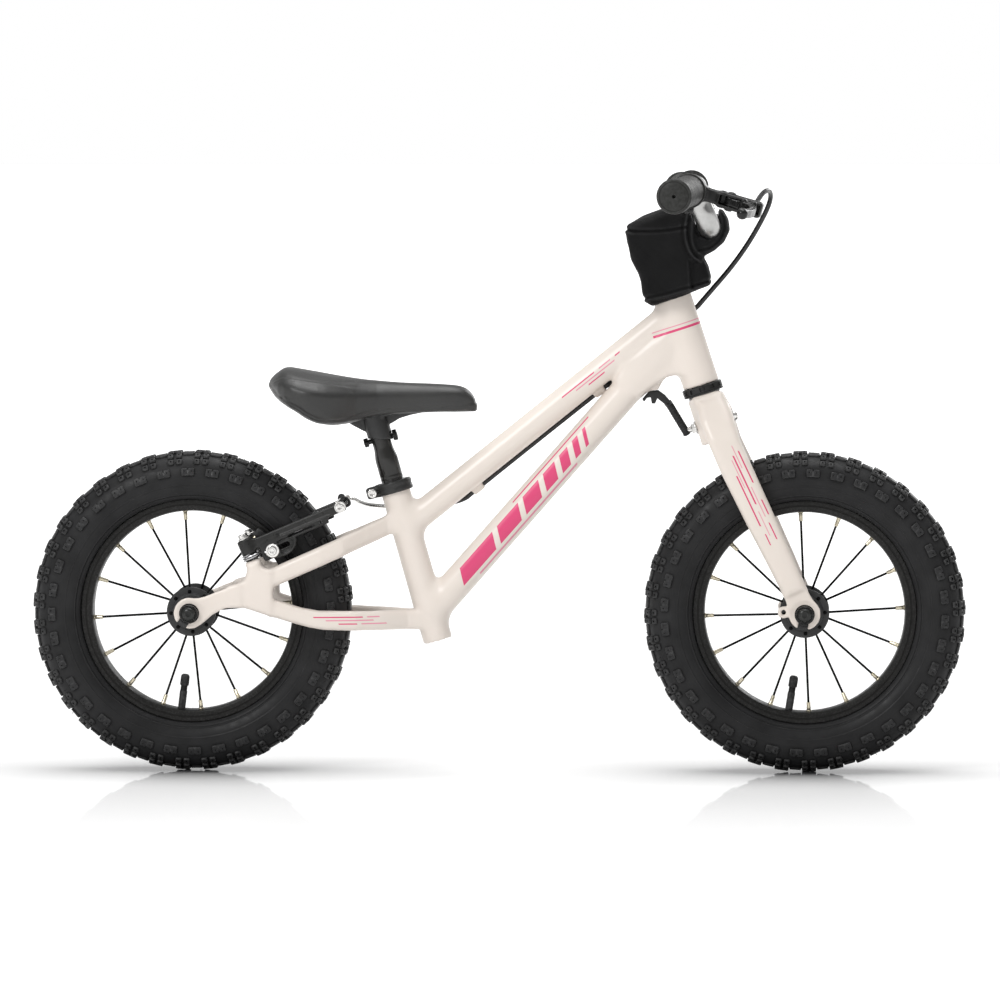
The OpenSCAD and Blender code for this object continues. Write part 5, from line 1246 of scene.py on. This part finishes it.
# ------------------------------------------------------------------ brake
def build_brake():
    F = Field((-13, -12, -7), (108, 12, 28), 0.62)
    F.add(*s_cyl((0, 0, 9.0), (0, 0, 23.9), 7.9, rnd=0.9))
    F.add(*s_cyl((0, 0, 2.5), (0, 0, 9.6), 6.7, rnd=0.5))
    for z in (3.6, 5.5, 7.4):
        F.add(*s_cyl((0, 0, z - 0.45), (0, 0, z + 0.45), 7.0, rnd=0.3), k=0.3)
    F.add(*s_box((51, 0, 16.75), EYE, (52.6, 4.4, 4.65), 1.9), k=3.5)
    F.add(*s_cyl((99, -4.4, 16.8), (99, 4.4, 16.8), 4.9, rnd=0.9), k=2)
    F.add(*s_box((49, -2.0, 11.6), EYE, (34.5, 2.1, 4.6), 1.5), k=2)
    F.add(*s_box((21, -0.5, 5.2), EYE, (10.9, 3.9, 9.0), 2.6), k=3)
    F.add(*s_side([[20, 13], [44.5, 13], [47.2, 9.6], [47.4, 4.6], [44.4, -0.6], [39, -4.6], [33, -6.2], [26, -5.4], [20, -3.6]], -3.9, 2.3, 1.6), k=1.2)
    F.cut(*s_side([[29, 10.2], [43, 10.2], [45.2, 7.4], [45.0, 4.6], [42.6, 0.9], [38.2, -2.4], [32.4, -3.8], [29, -3.0]], -5.4, -2.7, 0.5), k=0.5)
    F.add(*s_side([[24, 8.6], [40.4, 8.0], [43.4, 5.4], [42.2, 2.2], [38.5, 0.4], [24, -0.4]], -4.0, -2.0, 0.8), k=0.5)
    for y in (-5.6, 5.6):
        F.cut(*s_box((60, y, 16.4), EYE, (28, 2.3, 2.3), 1.6), k=0.9)
    F.cut(*s_box((26.5, 0, 3.9), EYE, (13.4, 12, 2.4), 2.1), k=0.4)
    F.cut(*s_box((55, -3, 10.4), EYE, (14, 6, 1.0), 0.8), k=0.5)
    F.cut(*s_cyl((76, -9, 10.6), (76, 3, 10.6), 1.9), k=0.4)
    F.cut(*s_cyl((0, 0, -5), (0, 0, 30), 4.15))
    F.cut(*s_cyl((99, -12, 17), (99, 12, 17), 2.7))
    oR = F.mesh("arm_casting_right", [M_ARM], relax=2)
    oL = oR.copy()
    oL.data = oR.data.copy()
    oL.name = "arm_casting_left"
    scene.collection.objects.link(oL)
    put(place(oR, R_BOSS, BOSS_R), "brake_arm_right", "black_metal", "brake_arm_right")
    put(place(oL, R_BOSS, BOSS_R, True), "brake_arm_left", "black_metal", "brake_arm_left")
    for side, body, pnode in (("right", "brake_arm_right", "brake_pad_right"), ("left", "brake_arm_left", "brake_pad_left")):
        mi = side == "left"
        OUT = np.stack([[1, 0, 0], [0, 0, 1], [0, -1, 0]], 1).astype(float)   # local +Z along -y
        # return spring: coils round the bush, then up along the inner side of the arm
        B = Build()
        t = np.linspace(0, 2.6 * 2 * math.pi, 64)
        coil = np.stack([8.35 * np.cos(t + 0.4), 8.35 * np.sin(t + 0.4), 3.6 + t / (2 * math.pi) * 1.9], 1)
        e = coil[-1]
        tail = [e + np.array([4, 0.6, 0.4]), np.array([24, 6.6, 10.6]), np.array([44, 6.2, 11.4]), np.array([66, 5.6, 12.2]), np.array([69, 5.6, 15.4]), np.array([70, 5.6, 17.4])]
        v, f = sweep(catmull(np.concatenate([coil[::3], tail]), 4), 0.75, 8, up=(0.2, 0.1, 0.97))
        B.add(v, f, 0)
        if not mi:
            socket_head(B, OUT, (99, -5.6, 17), 4.4, 3.8, 2.0, 1)
            turn(B, [(0.2, 0), (5.4, 0), (5.5, 0.3), (5.4, 1.0), (0.2, 1.1)], 36, OUT, (99, -4.55, 17), 1)
            turn(B, [(0.2, 0), (2.5, 0), (2.5, 12), (0.2, 12)], 20, OUT, (99, 5.8, 17), 1)
            hex_nut(B, -OUT @ np.diag([1, -1, 1.0]), (99, 4.5, 17), 4.6, 2.8, 2.4, 1)
        else:
            # cradle that holds the noodle over the end of the arm
            v, f = sweep([np.array([99, -1.5, 18]), np.array([99, -3.0, 21.8]), np.array([99, -5.5, 24.0])], 1.7, 14, up=(1, 0, 0))
            B.add(v, f, 1)
            socket_head(B, OUT, (99, -4.6, 17), 4.0, 2.4, 1.8, 1)
        o = place(B.make("arm_fittings_" + side, [M_STEEL, M_SILVER], ang=35), R_BOSS, BOSS_R, mi)
        put(o, body, "bright_steel")
        # pad: curved rubber block with wear slots, threaded post, washers and nut
        B = Build()
        sec = round_rect(4.65, 5.2, 1.5, 4)
        th = np.radians(np.linspace(22.6, 51.4, 41))
        rings = []
        for k, a in enumerate(th):
            edge_ = min(k, 40 - k)
            sc = (0.72, 0.88, 0.96, 1.0)[min(edge_, 3)]
            s = sec * sc
            groove = any(abs(k - g) < 1.1 for g in (10, 20, 30))
            dy = s[:, 1].copy()
            if groove:
                dy = np.where(dy < -3.6, -3.6, dy)
            r = 101.5 + s[:, 0]
            w = 22.7 + dy
            rings.append(np.stack([-300 + r * math.cos(a), -w, 157.5 + r * math.sin(a)], 1))
        v = np.concatenate(rings)
        f = rings_to_faces(41, len(sec))
        B.add(v, [tuple(reversed(q)) for q in f], 0)
        hub = (-219, 0, 218.6)
        turn(B, [(0.2, 27.2), (5.6, 27.2), (5.8, 27.5), (5.8, 28.6), (5.2, 29.0), (0.2, 29.0)], 36, WX, hub, 1)
        turn(B, [(0.2, 26.9), (2.85, 26.9), (2.85, 42.9), (0.2, 43)], 24, WX, hub, 2)
        turn(B, [(3.0, 31.0), (6.1, 31.0), (6.4, 31.4), (6.4, 32.8), (5.6, 33.1), (5.6, 33.4), (6.3, 33.7), (6.3, 35.2), (5.2, 36.3), (3.0, 36.3), (3.0, 31.0)], 40, WX, hub, 1)
        turn(B, [(0.2, 44.7), (6.5, 44.7), (6.8, 45.0), (6.7, 46.2), (6.3, 46.6), (0.2, 46.6)], 44, WX, hub, 2)
        turn(B, [(0.2, 46.55), (4.9, 46.55), (5.0, 46.8), (4.8, 47.3), (4.2, 47.5), (0.2, 47.5)], 40, WX, hub, 2)
        turn(B, [(0.2, 47.45), (4.35, 47.45), (4.35, 49.8), (3.9, 50.5), (2.5, 50.6), (2.2, 50.3), (2.15, 48.6), (0.2, 48.4)], 60, WX, hub, 2, lambda a, q, z: np.where((q < 2.3) & (q > 0.5) & (z > 48.5), hexa(a) * 1.05, 1.0))
        o = B.make("pad_block_" + side, [M_RUB, M_BLACK, M_SILVER], ang=35)
        if mi:
            place(o, EYE, (0, 0, 0), True)
        put(o, body, "soft_rubber", pnode)
    # studs and their screws
    B = Build()
    for mi in (False, True):
        R, t = (MIR @ R_BOSS, MIR @ BOSS_R) if mi else (R_BOSS, BOSS_R)
        turn(B, [(0.2, -1.0), (3.95, -1.0), (3.95, 24.1), (6.0, 24.15), (6.2, 24.4), (6.15, 25.2), (5.9, 25.4), (0.2, 25.4)], 44, R, t)
        socket_head(B, R, t + R @ np.array([0, 0, 25.35]), 4.6, 4.2, 2.3)
        turn(B, [(4.0, -1.3), (6.6, -1.3), (6.9, -1.0), (6.9, 0.6), (6.5, 1.0), (6.0, 1.2), (5.6, 2.2), (4.0, 2.2), (4.0, -1.3)], 44, R, t)
    put(B.make("boss_screws", [M_SILVER], ang=35), "frame", "bright_steel", "arm_pivot_bolts")

# ------------------------------------------------------------------ steering damper and crown bolt
def build_damper():
    F = Field((136, -8, 352), (175, 8, 378), 0.5)
    hook = [[140.6, 365.5], [147, 373], [156.5, 374.2], [163, 369.5], [170, 361.5], [166.5, 357.5], [160, 362.5], [155.5, 366], [153.5, 361], [150, 361], [149, 367], [145.5, 366.5], [142.5, 362.5]]
    F.add(*s_side(hook, -4.9, 4.9, 1.2))
    F.cut(*s_cyl((166.2, -9, 361.2), (166.2, 9, 361.2), 1.3), k=0.4)
    F.cut(*s_box((151, 0, 371), EYE, (5.5, 2.6, 9), 1.0), k=0.6)
    put(F.mesh("damper_hook", [M_BLACK], relax=2), "frame", "black_steel", "damper_bracket")
    path = catmull([[165.2, 0, 362.8], [168.8, 0, 357.6], [173, 0, 350.6], [178, 0, 342.4], [182, 0, 335.8], [185.6, 0, 330]], 26)
    n = len(path)
    s = np.arange(n) / (n - 1)
    r = 3.75 + 0.10 * np.cos(s * 2 * math.pi * 17)
    r[s < 0.10] = 3.9
    e = s > 0.90      # moulded round end
    r[e] = 4.3 * np.sqrt(np.maximum(1 - ((s[e] - 0.90) / 0.101) ** 2, 0.02))
    r[0] = 3.1
    B = Build()
    v, f = sweep(path, r, 28, up=(0, 1, 0))
    B.add(v, f)
    o = B.make("damper_sleeve", [M_RUB], ang=50)
    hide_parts("damper_spring")
    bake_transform(o)
    B = Build()
    RX = np.stack([YV, SU, SX], 1)      # local +Z along the bike
    c = st_pt(-38)
    turn(B, [(0.2, 17.7), (6.9, 17.7), (7.0, 17.9), (6.7, 20.2), (6.4, 20.5), (0.2, 20.5)], 44, RX, c)
    turn(B, [(0.2, 17.75), (6.1, 17.75), (6.4, 18.0), (6.35, 18.6), (5.9, 18.8), (5.4, 18.85), (5.3, 19.6), (4.9, 20.9), (4.1, 21.8), (3.0, 22.2), (1.9, 22.2), (1.75, 21.9), (1.7, 20.6), (0.2, 20.5)], 48, RX, c + SX * 2.6, 0, lambda a, q, z: np.where((q < 1.9) & (q > 0.5) & (z > 20.5), hexa(a) * 1.08, 1.0))
    turn(B, [(0.2, -27.8), (2.6, -27.8), (2.95, -27.4), (2.95, 20.4), (0.2, 20.4)], 28, RX, c)
    hex_nut(B, RX, c + SX * -22.2, 5.2, 4.3, 2.96)
    turn(B, [(3.0, -18.6), (6.3, -18.6), (6.5, -18.3), (6.5, -17.9), (6.3, -17.65), (3.0, -17.65), (3.0, -18.6)], 44, RX, c)
    put(B.make("crown_screw", [M_SILVER], ang=35), "steering", "bright_steel", "crown_bolt")

# ------------------------------------------------------------------ seat
def build_seat():
    B = Build()
    turn(B, [(8.6, 8.2), (8.9, 8.0), (10.7, 8.0), (11.08, 8.5), (11.08, 95.0), (11.0, 95.15), (11.0, 95.5), (11.08, 95.65), (11.08, 99.0), (11.0, 99.15), (11.0, 99.5), (11.08, 99.65), (11.08, 115.6), (10.9, 117.4), (10.3, 121.0), (9.7, 124.4), (9.35, 126.5), (9.28, 128), (9.28, 143.6), (9.0, 144), (7.2, 144), (7.0, 143.7), (7.0, 124), (8.6, 114), (8.6, 8.2)], 72, R_SEAT, SEAT_O)
    put(B.make("post_tube", [M_POST], ang=30), "seat", "black_metal", "seat_post")
    F = Field((-31, -22, 79), (21, 22, 96), 0.6)
    F.add(*s_cyl((0, 0, 81.6), (0, 0, 92.9), 17.9, rnd=1.6))
    F.add(*s_box((-19.5, 0, 87.2), EYE, (8.3, 8.9, 5.6), 2.4), k=2.5)
    F.cut(lambda X, Y, Z: np.maximum(np.abs(np.sqrt(X * X + Y * Y) - 18.4) - 0.8, np.abs(Z - 87.2) - 1.4), (np.array([-19, -19, 84]), np.array([19, 19, 90])), k=0.8)
    F.cut(*s_cyl((0, 0, 70), (0, 0, 92.0), 14.35))
    F.cut(*s_cyl((0, 0, 90), (0, 0, 100), 11.5))
    F.cut(*s_box((-20, 0, 87), EYE, (10, 1.0, 12), 0.1))
    F.cut(*s_cyl((-22, -30, 87), (-22, 30, 87), 2.7))
    put(place(F.mesh("clamp_ring", [M_CLAMP], relax=2), R_SEAT, SEAT_O), "frame", "black_metal", "seat_clamp")
    B = Build()
    OUT = np.stack([TX, TU, -YV], 1)
    socket_head(B, OUT, SEAT_O + R_SEAT @ np.array([-22, -9, 87]), 4.5, 4.4, 2.3)
    turn(B, [(0.2, -18.6), (2.4, -18.6), (2.45, -18.2), (2.45, 0.1), (0.2, 0.1)], 24, OUT, SEAT_O + R_SEAT @ np.array([-22, -9, 87]))
    put(B.make("clamp_screw", [M_SILVER], ang=35), "frame", "bright_steel", "seat_clamp_bolt")
    # base with socket and gussets
    F = Field((-211, -49, 326), (-47, 49, 375), 1.1)
    up = [[-208, 372], [-196, 366], [-178, 356], [-160, 352], [-133, 356], [-111, 359], [-50, 361], [-50, 356], [-111, 353], [-133, 349.5], [-160, 345.5], [-180, 349], [-198, 360], [-208, 366]]
    pl = [[-206, -44], [-172, -46], [-142, -24], [-100, -15], [-52, -10], [-52, 10], [-100, 15], [-142, 24], [-172, 46], [-206, 44]]
    F.add(*s_side_plan(up, pl, 1.2, 0.3))
    F.add(*s_cyl(seat_pt(128.1), seat_pt(162.0), 12.1, rnd=0.7), k=2.5)
    F.add(*s_side([[-153, 345.6], [-143, 339], [-131.5, 333], [-118, 337], [-104, 341.6], [-97, 346.0], [-86, 349.4], [-72, 352.2], [-72, 355], [-111, 353.8], [-133, 350.8], [-150, 347.2]], -3.8, 3.8, 1.2), k=1.5)
    for y in (-9, 9):
        F.add(*s_side([[-176, 350], [-150, 344.5], [-118, 346.5], [-86, 352], [-86, 355], [-118, 353], [-150, 350], [-176, 353]], y - 1.3, y + 1.3, 0.8), k=1.0)
    F.cut(*s_cyl(seat_pt(118), seat_pt(144.6), 9.4))
    c = seat_pt(136)
    F.cut(*s_cyl(c - TX * 30, c + TX * 30, 2.7))
    put(F.mesh("saddle_base", [M_PLASTIC], relax=2), "seat", "black_plastic", "saddle_shell")
    B = Build()
    RX = np.stack([YV, TU, TX], 1)
    socket_head(B, RX, c + TX * 12.4, 5.4, 4.3, 2.4)
    turn(B, [(0.2, -17), (2.1, -17), (2.45, -16.6), (2.45, 12.5), (0.2, 12.5)], 24, RX, c)
    hex_nut(B, RX, c - TX * 16.8, 5.0, 4.3, 2.5)
    put(B.make("saddle_screw", [M_NUT], ang=35), "seat", "black_steel", "saddle_bolt")

SADDLE_OUT = [[-227.4, 382], [-219.5, 390], [-209.5, 395.8], [-190.7, 393.4], [-162, 388], [-133, 384], [-104.5, 381.4], [-75.7, 380.3], [-47, 379], [-32.5, 375.4], [-25.4, 368.5], [-21.4, 359.5], [-22.5, 355.5], [-32.5, 354], [-61.3, 352.7], [-90, 351], [-111.6, 349], [-133, 344.8], [-147.6, 341.2], [-162, 340.7], [-176, 343.4], [-186.4, 348.4], [-195, 354.2], [-205, 359.2], [-216.6, 367], [-225, 375.7]]
SADDLE_W = np.array([[-227, 0.22], [-223, 0.5], [-214, 0.78], [-200, 0.95], [-184, 1], [-168, 0.96], [-152, 0.8], [-136, 0.56], [-118, 0.4], [-90, 0.33], [-55, 0.29], [-35, 0.25], [-25, 0.16], [-21.4, 0.06]])

def build_saddle():
    """Foam and vinyl: one stuffed cushion, drawn tight over the base, with a welt round its top and a folded lower edge."""
    xs = np.linspace(-227, -21.4, 120)
    sm = np.interp(xs, SADDLE_W[:, 0], SADDLE_W[:, 1]) * 71
    k = np.exp(-0.5 * (np.arange(-9, 10) / 3.6) ** 2)
    k /= k.sum()
    sm = np.minimum(np.convolve(np.pad(sm, 9, mode="edge"), k, "valid"), np.interp(xs, SADDLE_W[:, 0], SADDLE_W[:, 1]) * 71)
    low = [[-21.6, 357], [-32.5, 354], [-61.3, 352.7], [-90, 351], [-111.6, 349], [-133, 344.8], [-147.6, 341.2], [-162, 340.7], [-176, 343.4], [-186.4, 348.4], [-195, 354.2], [-205, 359.2], [-216.6, 367], [-225, 375.7]]
    plan_poly = [(x, -w) for x, w in zip(xs[::4], sm[::4])] + [(-17.0, -9.5), (-15.0, 0.0), (-17.0, 9.5)] + [(x, w) for x, w in zip(xs[::4][::-1], sm[::4][::-1])]
    nose = [[-38.0, 378.0], [-31.0, 375.2], [-25.8, 370.0], [-22.4, 363.6], [-20.6, 357.2], [-21.6, 353.4], [-28.0, 353.2]]
    out = [np.array(p, float) for p in SADDLE_OUT[:9] + nose + SADDLE_OUT[14:]]
    out[1][:] = (-219.6, 388.7)
    out[2][:] = (-209.0, 396.4)
    for _ in range(2):
        out = [q for i in range(len(out)) for q in (out[i] * 0.82 + out[(i + 1) % len(out)] * 0.18, out[i] * 0.18 + out[(i + 1) % len(out)] * 0.82)]
    def cushion(X, Y, Z):
        W = np.interp(X, xs, sm).astype(np.float32)
        u = np.clip(np.abs(Y) / np.maximum(W, 2.0), 0, 1.3)
        zm = np.interp(X, [-230, -160, -110, -20], [380.0, 364.0, 364.0, 366.0]).astype(np.float32)
        lift = sstep(Z, zm - 6, zm + 16)
        Z2 = Z + (13.5 * np.clip(u, 0, 1) ** 3.0) * lift * np.interp(X, [-228, -190, -120, -20], [1.0, 1.0, 0.62, 0.5]).astype(np.float32)
        shp = np.broadcast(X, Y, Z).shape
        a = poly2(np.broadcast_to(X, shp).astype(np.float32), Z2.astype(np.float32), out)
        b = poly2(np.broadcast_to(X, (shp[0], shp[1], 1)).astype(np.float32), np.broadcast_to(Y, (shp[0], shp[1], 1)).astype(np.float32), plan_poly)
        kk = np.interp(X, [-228, -214, -190, -140, -90, -40, -20], [7, 10, 18, 15, 11, 7, 6]).astype(np.float32)
        inw = np.clip((371 - Z) / 30, 0, 1) ** 1.5 * np.interp(X, [-228, -190, -120, -60, -20], [4.8, 4.8, 3.2, 1.8, 0.8]).astype(np.float32)
        A, W2 = a - 0.15, b + 0.3 + inw
        h = np.clip(0.5 + 0.5 * (A - W2) / kk, 0, 1)
        d = W2 + (A - W2) * h + kk * h * (1 - h)
        # folded edge line above the rim, welt round the top, tuck at the lower rear
        lo_ = line_dist(np.broadcast_to(X, (shp[0], 1, shp[2])), np.broadcast_to(Z, (shp[0], 1, shp[2])), low)
        d = d + 0.75 * np.exp(-((lo_ - 5.6) / 0.85) ** 2) - 0.25 * np.exp(-((lo_ - 3.4) / 1.4) ** 2)
        top = sstep(Z, 372, 378) * sstep(-X, 120, 150)
        d = d + top * (0.55 * np.exp(-(((u - 0.80) * W) / 0.8) ** 2) - 0.45 * np.exp(-(((u - 0.80) * W - 2.2) / 1.3) ** 2))
        tk = line_dist(np.broadcast_to(X, (shp[0], 1, shp[2])), np.broadcast_to(Z, (shp[0], 1, shp[2])), [(-214, 366), (-206, 368), (-197, 366)])
        d = d + 0.5 * np.exp(-(tk / 1.0) ** 2)
        # slack and pull in the vinyl
        d = d + 0.10 * np.sin(X * 0.13 + 1.3 * np.sin(Y * 0.07)) * np.sin(Z * 0.10 + 0.9) + 0.03 * np.sin(X * 0.47 + Y * 0.31) * np.cos(Z * 0.4)
        return d
    F = Field((-232, -74, 337), (-16, 74, 400), 1.35)
    F.add(cushion, (np.array([-229, -71.5, 339]), np.array([-19, 71.5, 397])))
    pocket = [[-208, 330], [-50, 330], [-50, 361], [-111, 359], [-133, 356], [-160, 352], [-178, 356], [-196, 366], [-208, 372]]
    pp = [[-206, -44], [-172, -46], [-142, -24], [-100, -15], [-52, -10], [-52, 10], [-100, 15], [-142, 24], [-172, 46], [-206, 44]]
    F.cut(*s_side_plan(pocket, pp, 0.6, -0.5), k=0.8)
    o = F.mesh("saddle_cushion", [M_VINYL], relax=2)
    put(o, "seat", "saddle_vinyl", "saddle_cover")

# ------------------------------------------------------------------ handlebar pad
PAD_SIDE = [[151, 456.2], [171, 463.2], [192, 470.2], [207, 476], [209, 483], [206, 495], [200.5, 505], [211.5, 510.5], [221.5, 519], [226.8, 530], [225.0, 541], [220, 550], [212, 555.5], [196, 558.5], [176, 556.5], [158, 551.5], [140, 544.5], [127, 537.5], [124, 530], [125.5, 518], [130, 503], [137, 486.5], [141.5, 468], [144, 460]]
PAD_HOLE = [[195.5, 526], [204.5, 522.3], [214.2, 529], [216.4, 541], [212.5, 560], [186, 562], [188, 548]]

def build_pad():
    """Foam-filled fabric cover: top panel, side panels, bound openings, a strap in front of the bar and a stitched hem."""
    pipe = catmull([(188.5, 557), (185.2, 546), (183.2, 534), (183.6, 523), (186.6, 512.5), (191.2, 505.6), (197.5, 500.6)], 5)[:, :2]
    pipe2 = catmull([(194.0, 548), (190.4, 536), (189.6, 526), (191.2, 517), (195.4, 510), (201.0, 505.5)], 5)[:, :2]
    strap = catmull([(196, 512.0), (207, 514.2), (216.4, 522.2), (221.0, 532.0), (220.2, 542), (216, 551)], 5)[:, :2]
    seam = catmull([(122, 533), (132, 530.4), (150, 530.2), (168, 531.4), (184, 534.4)], 5)[:, :2]
    hem = catmull([(138, 463.6), (160, 468.6), (180, 474.2), (197, 478.8), (212, 484.0)], 5)[:, :2]
    vert = catmull([(187.6, 501), (188.2, 490), (189.4, 476)], 5)[:, :2]
    def pad(X, Y, Z):
        shp = np.broadcast(X, Y, Z).shape
        P = np.broadcast_to(X, (shp[0], 1, shp[2])).astype(np.float32)
        Q = np.broadcast_to(Z, (shp[0], 1, shp[2])).astype(np.float32)
        a = poly2(P, Q, PAD_SIDE)
        W = 36.3 - 5.4 * sstep(P, 186.5, 191.5) * sstep(-Q, -504, -498) - 1.2 * sstep(P, 190, 196) * sstep(Q, 503, 508)
        W = W - 1.8 * sstep(-Q, -467, -461)
        ay = np.abs(Y)
        # the top panel domes across the width
        dome = 6.0 * (np.clip(ay / 36.3, 0, 1) ** 2.6) * sstep(Q, 528, 552) * sstep(-P, -205, -190)
        d = smax(a + 0.7 + dome * 0.55, ay - W, 8.5)
        side = sstep(ay, 20, 30)
        def groove(L, w, dep, where=1.0):
            return dep * np.exp(-(line_dist(P, Q, L) / w) ** 2) * where
        d = d + groove(seam, 1.25, 1.7) - groove(seam + [0, 3.0], 1.8, 0.5) - groove(seam - [0, 3.0], 1.8, 0.45)
        d = d + groove(hem, 1.2, 1.5) - groove(hem - [0, 2.8], 1.9, 0.6) + groove(hem - [0, 5.4], 0.9, 0.8)
        d = d + groove(vert, 1.2, 1.9, side)
        d = d - groove(pipe, 1.9, 1.5, side) + groove(pipe + [3.0, 0], 1.1, 1.3, side) + groove(pipe - [3.0, 0], 1.1, 1.3, side)
        d = d - groove(pipe2, 1.6, 1.1, side)
        d = d + groove(strap, 1.1, 1.4, side) - groove(strap + [0.4, -3.0], 1.5, 0.5, side)
        # pull wrinkles
        wr = 0.42 * np.sin(Z * 0.20 + 0.045 * X + 1.6 * np.sin(Y * 0.05 + 0.6)) * sstep(-P, -185, -150)
        wr = wr + 0.30 * np.sin(X * 0.19 - Z * 0.11 + 0.8 * np.sin(Y * 0.12)) * np.cos(Y * 0.09)
        wr = wr + 0.10 * np.sin(X * 0.55 + Z * 0.61) * np.sin(Y * 0.5)
        return d + wr
    F = Field((118, -40, 451), (232, 40, 564), 1.15)
    F.add(pad, (np.array([122, -37, 454]), np.array([228, 37, 560])))
    F.cut(*s_cyl(st_pt(78), st_pt(144.4), 20.4))
    F.cut(*s_cyl(st_pt(139), st_pt(148.8), 18.2))
    F.cut(*s_box(HEAD_O + R_ST @ np.array([34.5, 0, 122.5]), R_ST, (34.3, 18.1, 22.3), 1.0))
    F.cut(*s_box(HEAD_O + R_ST @ np.array([56, 0, 138]), R_ST, (17.8, 22.2, 21.8), 1.0))
    F.cut(*s_side(PAD_HOLE, -60, 60, 0.5), k=3.0)
    o = F.mesh("pad_cover", [M_PAD], relax=2)
    put(o, "steering", "pad_fabric", "handlebar_pad")

build_headset()
build_cockpit()
build_lever()
build_cables()
build_brake()
build_damper()
build_seat()
build_saddle()
build_pad()

# ------------------------------------------------------------------ floor
def build_floor():
    """A pale studio floor with a faint mirror in it. It glows a little, more with distance, so that it meets the white room without a line."""
    M = Mat("floor_white", rough=0.4, spec=0.1, coat=0.46, coat_rough=0.03)
    # painted contact shadow: an AO node darkens the floor colour and its glow near the bike and under the tyres
    ao = M.nt.nodes.new("ShaderNodeAmbientOcclusion")
    ao.samples = 12
    ao.inputs["Distance"].default_value = 0.16
    shade = M.maprange(ao.outputs["AO"], 0.48, 0.98, 0.04, 1.0)
    M.color(M.mix(shade, (0.05, 0.05, 0.055), M.ramp(M.noise(0.6, 2.0), [(0.3, (0.80, 0.80, 0.80)), (0.7, (0.82, 0.82, 0.82))])))
    M.rough(M.maprange(M.noise(3.0, 2.0), 0.3, 0.7, 0.38, 0.46))
    M.b.inputs["Emission Color"].default_value = (1.0, 1.0, 1.0, 1.0)
    # the mirror fades out to the sides of the bike
    side = M.vmath("LENGTH", M.vmath("MULTIPLY", M.co, (0.0, 1.0, 0.0)))
    M.put(M.b.inputs["Coat Weight"], M.maprange(side, 0.05, 0.85, 0.54, 0.05))
    far = M.maprange(M.vmath("LENGTH", M.co), 0.9, 5.0, 0.0, 1.0)
    M.put(M.b.inputs["Emission Strength"], M.math("MULTIPLY", M.math("ADD", 0.20, M.math("MULTIPLY", far, 0.75)), shade))
    ang = np.arange(96) * 2 * math.pi / 96
    vv = np.stack([40000 * np.cos(ang), 40000 * np.sin(ang), np.zeros(96)], 1)
    o = new_mesh("floor", vv, [tuple(range(96))], False, [M.m])
    return o

build_floor()

bpy.context.view_layer.update()
